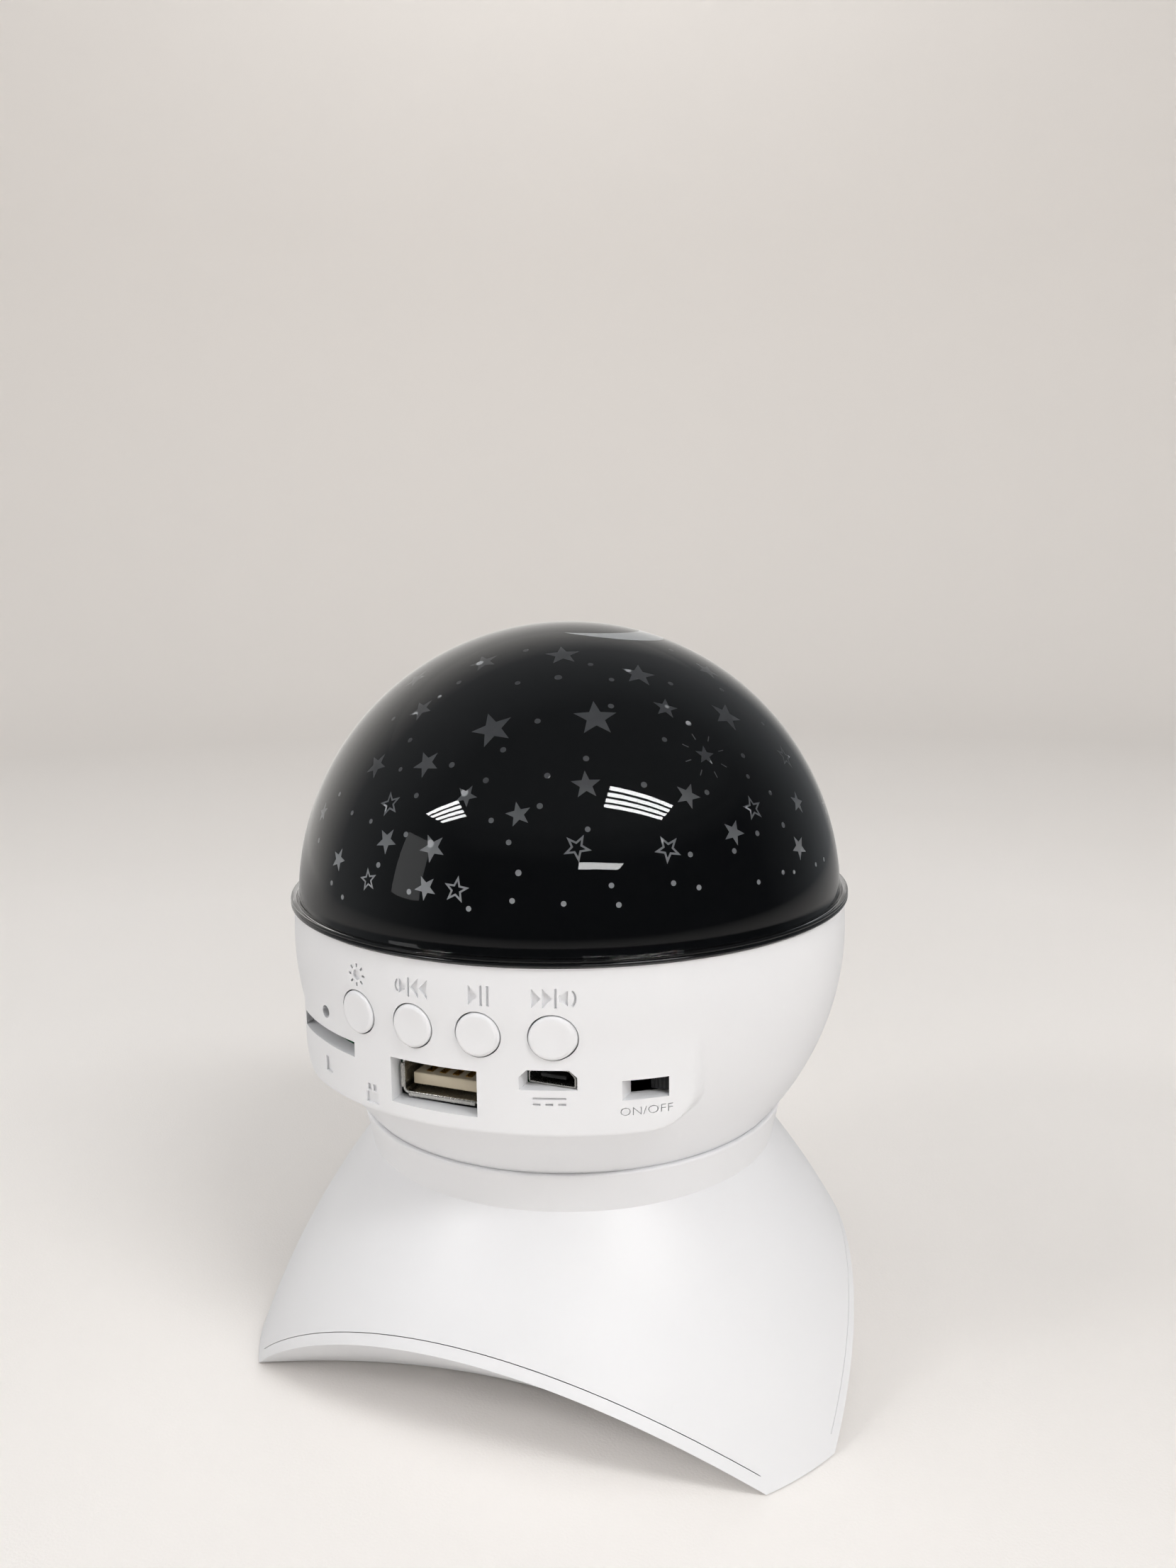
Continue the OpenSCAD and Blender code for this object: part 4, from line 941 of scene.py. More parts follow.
def makeButton(name, x, values):
    # spun about the Z axis, then laid along Y with its face bent to the panel's curve
    radius, edge, flange = values["radius"], values["edgeRound"], values["flangeRadius"]
    deep = 5.0  # of the spun shape only: the flange's own values place its two sides
    profile = [(ring, 0) for ring in values["rings"]]
    profile += [(radius - edge + edge * math.sin(a), -edge + edge * math.cos(a))
                for a in evenly(0, math.pi / 2, 6)]
    profile += [(radius, -deep), (flange, -deep - 0.01), (flange, -deep - 1), (0, -deep - 1)]
    bm = spun(profile, [(360, values["steps"])])
    for vert in bm.verts:
        across, up, out = vert.co
        far = math.hypot(across, up)
        if out > -deep + 0.5:
            face = math.sqrt(values["faceRadius"] ** 2 - (x + across) ** 2)
            hollow = values["dish"] * max(0, 1 - (far / (radius - edge)) ** 2)
            y = -(face + out - hollow)
        else:
            y = -(values["flangeBack"] if out < -deep - 0.5 else values["flangeFront"])
        vert.co = (x + across, y, buttonHeight + up)
    bmesh.ops.recalc_face_normals(bm, faces=bm.faces)
    return finished(scratchObject(bm), name + "Button", name + "_key",
                    [finishes["whiteAbsMoulded"]], [name + "_button"])


makeBowl(bowlValues)
for buttonName, buttonX in buttonPlaces.items():
    makeButton(buttonName, buttonX, buttonValues)
print("ball, panel and buttons made")


# Stand, bottom cover and neck ring

standValues = {
    "neckRadius": 35.76, "neckTop": 37.06, "neckHeight": 45.2, "lip": 0.32, "ballGap": 0.02,
    "bulge": 1.7, "wall": 2.0, "coverTop": 2.8, "tip": 0.2, "hole": 8.0, "steps": 180, "rows": 44,
    "archRadius": 151.0, "archIn": 23.3, "archTurn": 52.0, "archAngles": (-90, 30, 150),
    "archSteps": 900, "archLength": 170, "archKept": 45,  # only the bar's near side is kept
    "coverThick": 1.8, "seam": 0.12, "rimWidth": 2.2, "padHeight": 1.0,
    "feet": (-30, 90, 210), "postAt": 34.0, "postRadius": 4.0, "postFoot": 5.8,
    "screwHole": (1.25, 14.8), "headHole": (2.9, 3.6), "shankHole": (1.6, 3.0),  # radius, height
    "slots": {"width": 1.8, "pitch": 4.0, "field": 14.5, "top": 4.5},
    "speakerEars": (23.6, 3.0, 4.0), "earHole": (0.9, 2.2),  # circle, radius and top; radius, height
    "core": 0.4, "wider": 80, "above": 50,  # cutters: start beside the axis, past the feet, past the top
}


def bellCurve(values, inset, low, high, count):
    # the stand's side, an arc of a large circle, from height low to height high
    rise, run = lamp["standHeight"], lamp["footRadius"] - values["neckRadius"]
    chord = math.hypot(rise, run)
    radius = chord ** 2 / (8 * values["bulge"]) + values["bulge"] / 2
    off = math.sqrt(radius ** 2 - (chord / 2) ** 2)
    centreR = (values["neckRadius"] + lamp["footRadius"]) / 2 - off * rise / chord
    centreZ = rise / 2 - off * run / chord
    return [(centreR + math.sqrt((radius - inset) ** 2 - (z - centreZ) ** 2), z)
            for z in evenly(low, high, count)]


def archBar(values, angle, grow):
    # one of the three round bars that hollow the stand between its feet
    turn = (Matrix.Rotation(math.radians(angle + 90), 4, "Z") @ Matrix.Translation((0, -values["archIn"], 0))
            @ Matrix.Rotation(math.radians(values["archTurn"]), 4, "X")
            @ Matrix.Translation((0, -values["archRadius"], 0)))
    bm = bmesh.new()
    radius = values["archRadius"] + grow
    bmesh.ops.create_cone(bm, cap_ends=True, segments=values["archSteps"], radius1=radius, radius2=radius,
                          depth=values["archLength"])
    made = bmesh.ops.bisect_plane(bm, geom=bm.verts[:] + bm.edges[:] + bm.faces[:], dist=0.0001,
                                  plane_co=(0, radius - values["archKept"], 0), plane_no=(0, -1, 0),
                                  clear_outer=True)
    bmesh.ops.edgeloop_fill(bm, edges=[e for e in made["geom_cut"] if isinstance(e, bmesh.types.BMEdge)])
    bmesh.ops.recalc_face_normals(bm, faces=bm.faces)
    bmesh.ops.transform(bm, matrix=turn, verts=bm.verts)
    return scratchObject(bm)


def cutArches(obj, values, grow):
    for angle in values["archAngles"]:
        cutWith(obj, archBar(values, angle, grow))


def frontThird(profile, values):
    # the third of a round body over the front arch, closed at both ends
    bm = spun(profile, [(120, values["steps"] // 3)], start=-150)
    bmesh.ops.edgeloop_fill(bm, edges=[edge for edge in bm.edges if edge.is_boundary])
    bmesh.ops.recalc_face_normals(bm, faces=bm.faces)
    return scratchObject(bm)


def turnedRound(obj):
    # opens the third's ends again, turns copies of it into the other two and joins them
    bm = bmesh.new()
    bm.from_mesh(obj.data)
    ends = []
    for angle in (-150, -30):
        across = Vector((-math.sin(math.radians(angle)), math.cos(math.radians(angle)), 0))
        ends += [face for face in bm.faces if all(abs(vert.co.dot(across)) < 0.001 for vert in face.verts)]
    bmesh.ops.delete(bm, geom=ends, context="FACES")
    first = bm.verts[:] + bm.edges[:] + bm.faces[:]
    for k in (1, 2):
        made = bmesh.ops.duplicate(bm, geom=first)["geom"]
        bmesh.ops.rotate(bm, cent=(0, 0, 0), matrix=Matrix.Rotation(math.radians(120 * k), 3, "Z"),
                         verts=vertsOf(made))
    bmesh.ops.remove_doubles(bm, verts=bm.verts, dist=0.002)
    bm.to_mesh(obj.data)
    bm.free()


def atFeet(values, at, radius, low, high, segments=48):
    # the same upright cylinder at each foot
    bm = bmesh.new()
    for x, y in around(values["feet"], at):
        upright(bm, x, y, radius, low, high, segments)
    return bm


def makeStandShell(values):
    low, high = values["coverTop"], lamp["standHeight"]
    side = bellCurve(values, 0, low, high, values["rows"])
    inner = bellCurve(values, values["wall"], low, high - values["wall"], 36)
    profile = side + [(values["hole"], high), (values["hole"], high - values["wall"])] + inner[::-1]
    grow = values["coverThick"] + values["seam"]
    shell = frontThird(profile, values)
    cutWith(shell, archBar(values, -90, grow))
    turnedRound(shell)
    posts = scratchObject(atFeet(values, values["postAt"], values["postRadius"], values["postFoot"],
                                 high - 1))
    limit = [(0, 0)] + bellCurve(values, 1, 0, high, 40) + [(0, high)]  # 1 mm into the wall
    cutWith(posts, scratchObject(spun(limit, [(360, values["steps"])])), "INTERSECT")
    radius, top = values["screwHole"]
    cutWith(posts, scratchObject(atFeet(values, values["postAt"], radius, 0, top, 24)))
    cutArches(posts, values, grow)
    joinInto(shell, [posts])
    return finished(shell, "standShell", "housing", [finishes["whiteAbsMoulded"]],
                    ["stand_shell"])


def speakerSlots(values):
    # seven slots with round ends that fill a disc
    bm = bmesh.new()
    wide = values["width"]
    for k in range(-3, 4):
        y = k * values["pitch"]
        half = math.sqrt(values["field"] ** 2 - y * y) - wide / 2
        made = box(bm, (-half, y - wide / 2, -1), (half, y + wide / 2, values["top"]))
        ends = [edge for edge in {e for v in made for e in v.link_edges}
                if abs(edge.verts[0].co.z - edge.verts[1].co.z) > 1]
        bevelEdges(bm, ends, wide * 0.49, 6)
    return bm


def makeStandCover(values):
    low, high = values["tip"], lamp["standHeight"]
    side = bellCurve(values, 0, low, high, values["rows"])
    cover = frontThird([(values["core"], low)] + side + [(values["core"], high)], values)
    bm = bmesh.new()
    upright(bm, 0, 0, values["wider"], values["coverTop"], values["above"], 96)
    above = scratchObject(bm)
    cutWith(above, archBar(values, -90, values["coverThick"]))
    cutWith(cover, above)
    cutWith(cover, archBar(values, -90, 0))
    # recess of the underside, inside a rim round each foot
    bm = bmesh.new()
    upright(bm, 0, 0, lamp["footRadius"] - values["rimWidth"], -1, values["padHeight"], 180)
    recess = scratchObject(bm)
    cutWith(recess, archBar(values, -90, values["rimWidth"]))
    cutWith(cover, recess)
    turnedRound(cover)
    at, radius, top = values["speakerEars"]
    bm = atFeet(values, values["postAt"], values["postRadius"], low, values["postFoot"])
    pour(atFeet(values, at, radius, low, top), bm)
    bosses = scratchObject(bm)
    cutArches(bosses, values, 0)
    bm = bmesh.new()
    upright(bm, 0, 0, values["wider"], -1, values["padHeight"], 96)
    cutWith(bosses, scratchObject(bm))
    radius, top = values["headHole"]
    heads = atFeet(values, values["postAt"], radius, -1, top, 32)
    shanks = atFeet(values, values["postAt"], *values["shankHole"], values["above"], 24)
    pour(atFeet(values, at, *values["earHole"], values["above"], 24), shanks)
    for cutter in (heads, shanks, speakerSlots(values["slots"])):
        tool = scratchObject(cutter)
        cutWith(cover, tool, keepCutter=True)
        cutWith(bosses, tool)
    joinInto(cover, [bosses])
    return finished(cover, "standCover", "housing", [finishes["whiteAbsMoulded"]],
                    ["stand_cover"])


def makeNeckRing(values):
    low, high, edge, top = lamp["standHeight"], values["neckHeight"], values["lip"], values["neckTop"]
    profile = list(zip(evenly(values["neckRadius"], top, 8), evenly(low, high, 8)))[:-1]
    profile += arcPoints((top - edge, high - edge), edge, 0, 90, 5)
    touch = lamp["ballRadius"] + values["ballGap"]
    profile += [(ballRadius(z, touch), z) for z in evenly(high, low, 10)]
    return finished(scratchObject(spun(profile, [(360, lamp["steps"])])), "neckRing", "housing",
                    [finishes["whiteAbsMoulded"]], ["neck_ring"])


makeStandShell(standValues)
makeStandCover(standValues)
makeNeckRing(standValues)
print("stand made")


# Sockets and switch

usbValues = {
    "width": 13.1, "height": 5.7, "metal": 0.35, "corner": 0.8, "mouth": -44.04, "length": 14.0,
    "lip": {"out": 0.3, "into": 0.5, "thick": 0.34, "short": 0.95, "round": 0.15},
    "tongue": {"width": 11.1, "thick": 1.84, "low": 60.235, "back": 1.3, "edge": 0.22},
    "block": {"thick": 3.0, "gap": 0.4, "edge": 0.1},  # the tongue's root, which fills the shell
    "contact": {"pitch": 2.2, "width": 1.0, "thick": 0.15, "from": 1.0, "edge": 0.06},
}


def atMouth(item, values):
    return all(abs(vert.co.y - values["mouth"]) < 1e-4 for vert in item.verts)


def hollowed(bm, values):
    # makes a solid bar a drawn metal box, open at the front
    bmesh.ops.recalc_face_normals(bm, faces=bm.faces)
    front = [face for face in bm.faces if atMouth(face, values)]
    bmesh.ops.inset_region(bm, faces=front, thickness=values["metal"], use_even_offset=True)
    made = bmesh.ops.extrude_discrete_faces(bm, faces=front)["faces"]
    bmesh.ops.translate(bm, vec=(0, values["length"] - values["metal"], 0),
                        verts=list({vert for face in made for vert in face.verts}))


def usbTube(x, z, values):
    bm = bmesh.new()
    face = bm.faces.new([bm.verts.new((across, values["mouth"], up)) for across, up in
                         rectangle(x, z, values["width"], values["height"])])
    bmesh.ops.bevel(bm, geom=face.verts[:], offset=values["corner"], offset_type="OFFSET", segments=4,
                    profile=0.5, affect="VERTICES", material=-1)
    made = bmesh.ops.extrude_face_region(bm, geom=bm.faces[:])["geom"]
    bmesh.ops.translate(bm, vec=(0, values["length"], 0), verts=vertsOf(made))
    hollowed(bm, values)
    return bm


def makeUsb(values):
    x, z = panelPlaces["usb"]
    bm = usbTube(x, z, values)
    lip, w, h = values["lip"], values["width"] / 2, values["height"] / 2
    far, near, short = values["mouth"] + 0.05, values["mouth"] - lip["thick"], lip["short"]
    edges = []
    for side in (-1, 1):
        # a sprung lip above or below, and one at a side: each stands out and leans into the mouth
        less, more = (lip["out"], lip["into"]) if side < 0 else (lip["into"], lip["out"])
        made = box(bm, (x - w + short, near, z + side * h - less), (x + w - short, far, z + side * h + more))
        made += box(bm, (x + side * w - less, near, z - h + short), (x + side * w + more, far, z + h - short))
        edges += [edge for vert in made for edge in vert.link_edges]
    bevelEdges(bm, set(edges), lip["round"])
    finished(scratchObject(bm), "usbShell", "housing", [finishes["nickelPlatedSteel"]],
             ["usb_shell"])
    tongue, block = values["tongue"], values["block"]
    front, back = values["mouth"] + tongue["back"], values["mouth"] + values["length"] - values["metal"]
    bm = bmesh.new()
    bevelledBox(bm, (x - tongue["width"] / 2, front, tongue["low"]),
                (x + tongue["width"] / 2, back, tongue["low"] + tongue["thick"]), tongue["edge"], 3)
    bevelledBox(bm, (x - w + block["gap"], back - block["thick"], z - h + block["gap"]),
                (x + w - block["gap"], back - 0.02, z + h - block["gap"]), block["edge"], 1)
    finished(scratchObject(bm), "usbTongue", "housing",
             [finishes["ivoryPolymerMoulded"]], ["usb_tongue"])
    contact = values["contact"]
    bm = bmesh.new()
    top = tongue["low"] + tongue["thick"]
    for k in (-1.5, -0.5, 0.5, 1.5):
        left = x + k * contact["pitch"] - contact["width"] / 2
        bevelledBox(bm, (left, front + contact["from"], top - 0.05),
                    (left + contact["width"], back - block["thick"], top + contact["thick"]),
                    contact["edge"], 2)
    finished(scratchObject(bm), "usbContacts", "housing", [finishes["goldFlashedBronze"]],
             ["usb_contacts"])


microValues = {
    "width": 7.5, "height": 2.6, "metal": 0.25, "chamfer": 1.0, "mouth": -43.0, "length": 6.42,
    "tongue": (4.0, 0.6, 64.49, 0.6),  # width, thickness, height, start behind the mouth
    "block": {"thick": 1.0, "in": 0.9, "gap": 0.4},
    "corner": 0.3, "mouthRound": 0.08, "edge": (0.1, 0.08),
}


def makeMicroUsb(values):
    x, z = panelPlaces["micro"]
    w, h, mouth = values["width"] / 2, values["height"] / 2, values["mouth"]
    bm = bmesh.new()
    prism(bm, chamfered(x, z, 2 * w, 2 * h, values["chamfer"]), mouth, mouth + values["length"])
    bmesh.ops.recalc_face_normals(bm, faces=bm.faces)
    bevelEdges(bm, [e for e in bm.edges if abs(e.verts[0].co.y - e.verts[1].co.y) > 1], values["corner"])
    hollowed(bm, values)
    rim = [edge for edge in bm.edges
           if atMouth(edge, values) and any(abs(face.normal.y) < 0.5 for face in edge.link_faces)]
    bevelEdges(bm, rim, values["mouthRound"], 2)
    finished(scratchObject(bm), "microUsbShell", "housing",
             [finishes["nickelPlatedSteel"]], ["micro_usb_shell"])
    width, thick, height, start = values["tongue"]
    block, back = values["block"], mouth + values["length"] - values["metal"]
    bm = bmesh.new()
    bevelledBox(bm, (x - width / 2, mouth + start, height - thick / 2),
                (x + width / 2, back, height + thick / 2), values["edge"][0], 2)
    bevelledBox(bm, (x - w + block["in"], back - block["thick"], z - h + block["gap"]),
                (x + w - block["in"], back - 0.02, z + h - block["gap"]), values["edge"][1], 1)
    finished(scratchObject(bm), "microUsbTongue", "housing", [finishes["nylonBlackMoulded"]],
             ["micro_usb_tongue"])


switchValues = {
    "width": 7.8, "height": 3.6, "front": -30.45, "deep": 3.5,
    "coverLow": 61.4, "sheet": 0.3, "coverRound": 0.2, "slot": (5.4, 2.3),
    "base": {"gap": 0.35, "front": 1.7, "lip": 0.42},
    "nub": {"x": 28.85, "width": 2.8, "height": 2.1, "out": -35.3, "back": -29.0, "round": 0.22},
    "ribs": {"count": 4, "deep": 0.16, "half": 0.13, "pitch": 0.22, "short": 0.15, "round": 0.07},
    "plate": {"width": 4.0, "height": 2.7, "front": -29.95, "back": -28.95, "round": 0.12},
}


def makeSwitch(values):
    (x, z), w, h = panelPlaces["switch"], values["width"] / 2, values["height"] / 2
    front, back, sheet = values["front"], values["front"] + values["deep"], values["sheet"]
    slotW, slotH = values["slot"]
    # folded sheet cover, open below, with the slider's slot in its front
    bm = bmesh.new()
    bevelledBox(bm, (x - w, front, values["coverLow"]), (x + w, back, z + h), values["coverRound"], 2)
    cover = scratchObject(bm)
    hollow = bmesh.new()
    box(hollow, (x - w + sheet, front + sheet, 50), (x + w - sheet, back + 1, z + h - sheet))
    cutWith(cover, scratchObject(hollow))
    slot = bmesh.new()
    box(slot, (x - slotW / 2, front - 1, z - slotH / 2), (x + slotW / 2, front + 1, z + slotH / 2))
    cutWith(cover, scratchObject(slot))
    finished(cover, "switchCover", "housing", [finishes["nickelPlatedSteel"]],
             ["switch_case"])
    # moulded base: a block at the back and a strip under the slider
    base = values["base"]
    left, right, inside = x - w + base["gap"], x + w - base["gap"], back - 0.05
    bm = bmesh.new()
    bevelledBox(bm, (left, front + base["front"], z - h), (right, inside, z + h - 0.4), 0.15, 2)
    bevelledBox(bm, (left, front + base["gap"], z - h), (right, inside, z - h + base["lip"]), 0.12, 2)
    finished(scratchObject(bm), "switchBase", "housing", [finishes["nylonBlackMoulded"]],
             ["switch_case"])
    # slider: nub, grip ribs and the plate behind the cover
    nub, ribs, plate = values["nub"], values["ribs"], values["plate"]
    middle, nubH, plateW, plateH = nub["x"], nub["height"] / 2, plate["width"] / 2, plate["height"] / 2
    bm = bmesh.new()
    bevelledBox(bm, (middle - nub["width"] / 2, nub["out"] + ribs["deep"], z - nubH),
                (middle + nub["width"] / 2, nub["back"], z + nubH), nub["round"], 3)
    for k in range(ribs["count"]):
        across = middle + (k - (ribs["count"] - 1) / 2) * nub["width"] * ribs["pitch"]
        bevelledBox(bm, (across - ribs["half"], nub["out"], z - nubH + ribs["short"]),
                    (across + ribs["half"], nub["out"] + 0.6, z + nubH - ribs["short"]), ribs["round"], 2)
    bevelledBox(bm, (middle - plateW, plate["front"], z - plateH),
                (middle + plateW, plate["back"], z + plateH), plate["round"], 2)
    finished(scratchObject(bm), "powerSlider", "power_key",
             [finishes["nylonBlackMoulded"]], ["power_slider"])


makeUsb(usbValues)
makeMicroUsb(microValues)
makeSwitch(switchValues)
print("sockets and switch made")


# Camera, light and floor

cameraValues = {
    "place": (0.0895, -0.2086, 0.1380),  # metres
    "right": (0.9253, 0.3791, -0.0108),
    "up": (-0.0531, 0.1578, 0.9860),
    "forward": (-0.3755, 0.9119, -0.1662),
    "lens": 30.41,
}


def placeCamera(values):
    camera = bpy.data.objects.new("photoCamera", bpy.data.cameras.new("photoCamera"))
    camera.data.lens = values["lens"]
    camera.data.sensor_width = 36
    camera.data.clip_start = 0.01
    camera.data.clip_end = 50
    turn = Matrix((values["right"], values["up"], [-v for v in values["forward"]])).transposed()
    camera.matrix_world = Matrix.Translation(values["place"]) @ turn.to_4x4()
    bpy.context.scene.collection.objects.link(camera)
    bpy.context.scene.camera = camera


# Soft lights that only matt surfaces see: place, aim, width, height, watts
lightValues = {
    "softBox": ((0.45, -0.50, 1.95), (0, 0, 0.05), 1.4, 1.4, 8.6),
    "leftFill": ((-1.25, -0.60, 1.20), (0, 0, 0.05), 1.2, 1.0, 6.0),
    "wallWash": ((-0.38, 0.88, 1.25), (-0.52, 1.30, 0.62), 0.6, 0.3, 2.5),
}

# Ceiling fittings with bare strips, which show as the dome's striped reflections
fittingValues = {
    "left": {"corners": ((-1.42, -1.14), (-0.69, -0.97), (-0.68, -1.25), (-1.29, -1.44)),
             "height": 1.1, "strips": 4, "radiance": 24.0, "lights": True},
    "right": {"corners": ((0.58, -0.50), (1.25, -0.28), (1.35, -0.55), (0.69, -0.80)),
              "height": 1.1, "strips": 4, "radiance": 24.0, "lights": True},
    # only a reflection, since it would light from too low
    "far": {"corners": ((0.52, -0.97), (0.83, -0.865), (1.30, -1.48), (0.87, -1.68)),
            "height": 0.59, "strips": 3, "radiance": 12.0, "lights": False},
}
stripShare = 0.62  # of the space from strip to strip
# A soft upright panel, which shows as the tall grey reflection at the dome's left
tallPanel = {"angle": -45, "away": 1.25, "low": 0.02, "high": 0.62, "width": 0.3, "radiance": 0.85}


def placeLight(name, place, axes, size, watts, inGloss, inDiffuse=True):
    # a rectangle of light, its axes across it, along it and out of its front
    across, along, out = axes
    light = bpy.data.lights.new(name, "AREA")
    light.shape = "RECTANGLE"
    light.size, light.size_y = size
    light.energy = watts
    obj = bpy.data.objects.new(name, light)
    turn = Matrix((across, along, -out)).transposed()
    obj.matrix_world = Matrix.Translation(place) @ turn.to_4x4()
    obj.visible_glossy = inGloss
    obj.visible_diffuse = inDiffuse
    obj.visible_camera = False
    bpy.context.scene.collection.objects.link(obj)


def placeLights(values):
    for name, (place, aim, width, height, watts) in values.items():
        out = (Vector(aim) - Vector(place)).normalized()
        across = out.cross(Vector((0, 0, 1))).normalized()
        placeLight(name, place, (across, across.cross(out), out), (width, height), watts, False)


def placeFitting(name, values):
    a, b, c, d = [Vector((x, y, values["height"])) for x, y in values["corners"]]
    middle, side, down = (a + b + c + d) / 4, (b - a + c - d) / 2, (d - a + c - b) / 2
    across, out, strips = side.normalized(), Vector((0, 0, -1)), values["strips"]
    size = (side.length, down.length / strips * stripShare)
    watts = values["radiance"] * math.pi * size[0] * size[1]
    for k in range(strips):
        place = middle + down * ((k + 0.5) / strips - 0.5)
        placeLight(f"{name}Strip{k}", place, (across, across.cross(out), out), size, watts, True,
                   values["lights"])


def placeTallPanel(values):
    a = math.radians(values["angle"])
    out, up = Vector((-math.sin(a), math.cos(a), 0)), Vector((0, 0, 1))
    place = -out * values["away"] + up * (values["low"] + values["high"]) / 2
    size = (values["width"], values["high"] - values["low"])
    watts = values["radiance"] * math.pi * size[0] * size[1]
    placeLight("tallPatch", place, (out.cross(up), up, out), size, watts, True)


# What lies round the lamp: what gloss sees, from the dim room in front to the pale wall behind, and
# what matt surfaces and the camera see
roomValues = {
    "wall": (-0.66, 0.75, 0),  # the way to the pale wall
    "tones": ((0.30, "3A3E43"), (0.50, "676B6E"), (0.62, "7C8083"), (0.80, "8E9092"),
              (0.89, "D0CECB"), (0.96, "F0EDE9")),
    "ceiling": (0.2, 0.6),  # heights between which the ceiling's tone comes in
    "fill": ("F4F5F7", 0.2), "seen": "DCDAD7",
}


def roomTone(tree, way, up, values):
    share = addNode(tree, "ShaderNodeVectorMath", {"operation": "DOT_PRODUCT", 1: values["wall"]}, {0: way})
    facing = addNode(tree, "ShaderNodeMapRange", {"From Min": -1.0, "From Max": 1.0},
                     {"Value": share.outputs["Value"]})
    low, high = values["ceiling"]
    lift = addNode(tree, "ShaderNodeMapRange", {"From Min": low, "From Max": high, "To Max": 0.5},
                   {"Value": up})
    most = addNode(tree, "ShaderNodeMath", {"operation": "MAXIMUM"},
                   {0: facing.outputs["Result"], 1: lift.outputs["Result"]})
    tone = addNode(tree, "ShaderNodeValToRGB", {"stops": values["tones"]}, {"Fac": most.outputs[0]})
    return tone.outputs["Color"]


def placeWorld(values):
    world = bpy.data.worlds.new("studio")
    bpy.context.scene.world = world
    world.use_nodes = True
    tree = world.node_tree
    tree.nodes.clear()
    rays = addNode(tree, "ShaderNodeLightPath")
    colour, strength = values["fill"]
    fill = addNode(tree, "ShaderNodeBackground", {"Color": linearColour(colour), "Strength": strength})
    pale = addNode(tree, "ShaderNodeBackground", {"Color": linearColour(values["seen"]), "Strength": 1.0})
    way = addNode(tree, "ShaderNodeTexCoord").outputs["Generated"]
    parts = addNode(tree, "ShaderNodeSeparateXYZ", None, {"Vector": way})
    gloss = addNode(tree, "ShaderNodeBackground", {"Strength": 1.0},
                    {"Color": roomTone(tree, way, parts.outputs["Z"], values)})
    seen = addNode(tree, "ShaderNodeMath", {"operation": "MAXIMUM"},
                   {0: rays.outputs["Is Camera Ray"], 1: rays.outputs["Is Transmission Ray"]})
    first = addNode(tree, "ShaderNodeMixShader", None,
                    {0: seen.outputs[0], 1: fill.outputs[0], 2: pale.outputs[0]})
    last = addNode(tree, "ShaderNodeMixShader", None,
                   {0: rays.outputs["Is Glossy Ray"], 1: first.outputs[0], 2: gloss.outputs[0]})
    addNode(tree, "ShaderNodeOutputWorld", None, {"Surface": last.outputs[0]})


sweepValues = {
    "floorRadius": 900, "bend": 500, "height": 920, "rings": (60, 150, 300, 600), "steps": 96,
    "weave": 0.45, "cloth": ("F2EEEA", "F9F6F3"),
    # the cloth greys to the wall's tone between these radii: painted shade for the far wall, which gets less
    # light
    "wall": "E6E2DE", "wallFrom": 0.35, "wallTo": 0.85,  # metres from the lamp
    # painted reflection: for gloss rays the cloth glows with this tone near the lamp, fading out between
    # these radii
    "gloss": "B8B6B4", "glossNear": 0.42, "glossFar": 0.85,  # what gloss sees, and where it fades
}


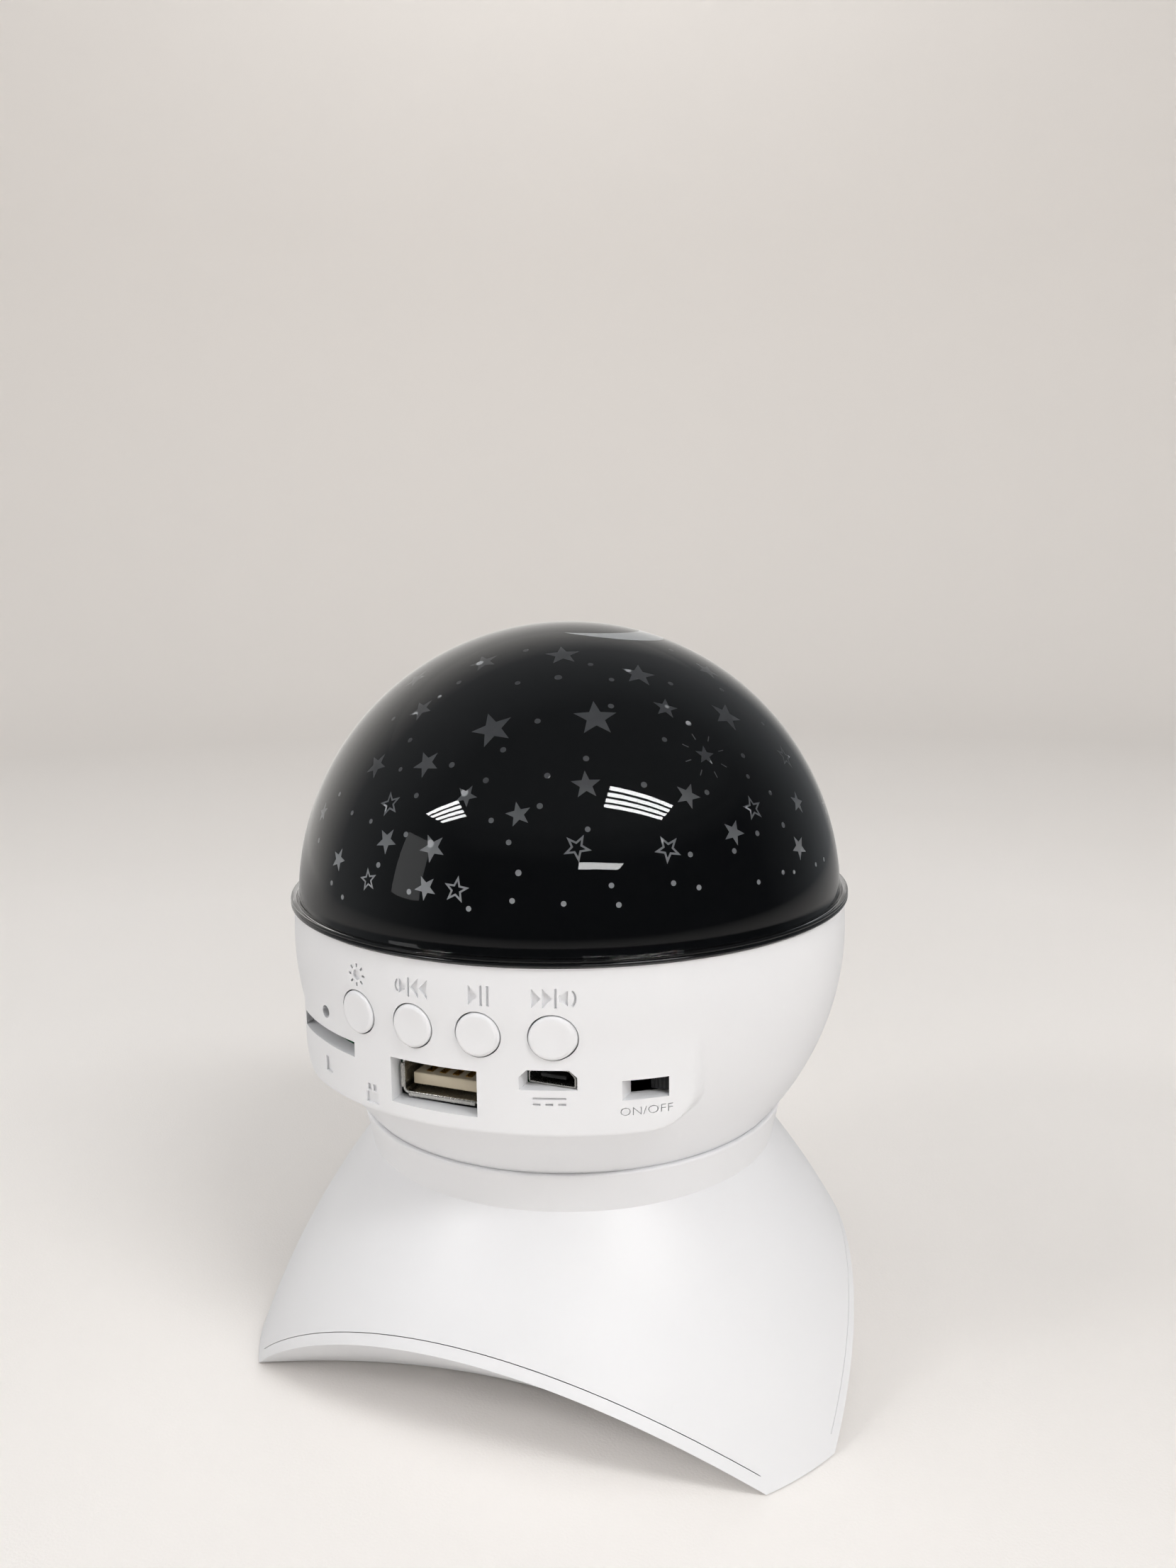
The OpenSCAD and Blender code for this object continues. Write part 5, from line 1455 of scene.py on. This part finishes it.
def sweepMaterial(values):
    # brushed cotton cloth: matt, faint weave and nap; for gloss rays it glows with a painted reflection
    # of the table instead, which fades into the room further out
    material, tree, place = newMaterial("whiteClothSweep")
    nap = addNode(tree, "ShaderNodeTexNoise", {"Scale": 1000 / values["weave"], "Detail": 2.0},
                  {"Vector": place})
    drift = addNode(tree, "ShaderNodeTexNoise", {"Scale": 4.0, "Detail": 2.0}, {"Vector": place})
    near = addNode(tree, "ShaderNodeMix", {"data_type": "RGBA", 6: linearColour(values["cloth"][0]),
                                           7: linearColour(values["cloth"][1])}, {0: drift.outputs["Fac"]})
    parts = addNode(tree, "ShaderNodeSeparateXYZ", None, {"Vector": place})
    level = addNode(tree, "ShaderNodeCombineXYZ", None, {"X": parts.outputs["X"], "Y": parts.outputs["Y"]})
    reach = addNode(tree, "ShaderNodeVectorMath", {"operation": "LENGTH"}, {0: level.outputs[0]})
    # greyer further from the lamp: painted shade on the far wall
    wall = addNode(tree, "ShaderNodeMapRange", {"From Min": values["wallFrom"], "From Max": values["wallTo"]},
                   {"Value": reach.outputs["Value"]})
    colour = addNode(tree, "ShaderNodeMix", {"data_type": "RGBA", 7: linearColour(values["wall"])},
                     {0: wall.outputs["Result"], 6: near.outputs[2]})
    bump = addNode(tree, "ShaderNodeBump", {"Strength": 0.35, "Distance": 0.2 * mm},
                   {"Height": nap.outputs["Fac"]})
    cloth = addNode(tree, "ShaderNodeBsdfPrincipled", {"Roughness": 0.9, "Specular IOR Level": 0.2},
                    {"Base Color": colour.outputs[2], "Normal": bump.outputs["Normal"]})
    way = addNode(tree, "ShaderNodeVectorMath", {"operation": "NORMALIZE"}, {0: place}).outputs["Vector"]
    up = addNode(tree, "ShaderNodeSeparateXYZ", None, {"Vector": way})
    fade = addNode(tree, "ShaderNodeMapRange",
                   {"From Min": values["glossNear"], "From Max": values["glossFar"]},
                   {"Value": reach.outputs["Value"]})
    # the cloth's glow for gloss rays: a painted reflection of the table, and of the room further out
    seen = addNode(tree, "ShaderNodeMix", {"data_type": "RGBA", 6: linearColour(values["gloss"])},
                   {0: fade.outputs["Result"], 7: roomTone(tree, way, up.outputs["Z"], roomValues)})
    paintedReflectionGlow = addNode(tree, "ShaderNodeEmission", {"Strength": 1.0}, {"Color": seen.outputs[2]})
    rays = addNode(tree, "ShaderNodeLightPath")
    both = addNode(tree, "ShaderNodeMixShader", None,
                   {0: rays.outputs["Is Glossy Ray"], 1: cloth.outputs["BSDF"], 2: paintedReflectionGlow.outputs[0]})
    addNode(tree, "ShaderNodeOutputMaterial", None, {"Surface": both.outputs[0]})
    return material


def makeSweep(values):
    # white cloth on a table that runs up into a pale wall, the same from every side
    bm = bmesh.new()
    flat, bend = values["floorRadius"], values["bend"]
    points = [(r, 0) for r in (0, *values["rings"], flat)]
    points += [(flat + bend * math.sin(a), bend * (1 - math.cos(a)))
               for a in evenly(0, math.pi / 2, 12)[1:]]
    points.append((flat + bend, values["height"]))
    verts = [bm.verts.new((r, 0, z)) for r, z in points]
    edges = [bm.edges.new(pair) for pair in zip(verts, verts[1:])]
    bmesh.ops.spin(bm, geom=verts + edges, cent=(0, 0, 0), axis=(0, 0, 1), angle=tau,
                   steps=values["steps"], use_merge=True)
    bmesh.ops.remove_doubles(bm, verts=bm.verts, dist=0.001)
    bmesh.ops.recalc_face_normals(bm, faces=bm.faces)
    bmesh.ops.scale(bm, vec=(mm, mm, mm), verts=bm.verts)
    sweep = scratchObject(bm, "clothSweep")
    sweep.data.shade_smooth()
    sweep.data.flip_normals()
    sweep.data.materials.append(sweepMaterial(values))


placeCamera(cameraValues)
placeLights(lightValues)
for fittingName, fitting in fittingValues.items():
    placeFitting(fittingName, fitting)
placeTallPanel(tallPanel)
placeWorld(roomValues)
makeSweep(sweepValues)
bpy.context.scene.view_settings.view_transform = "Standard"
print("camera, light and floor placed")
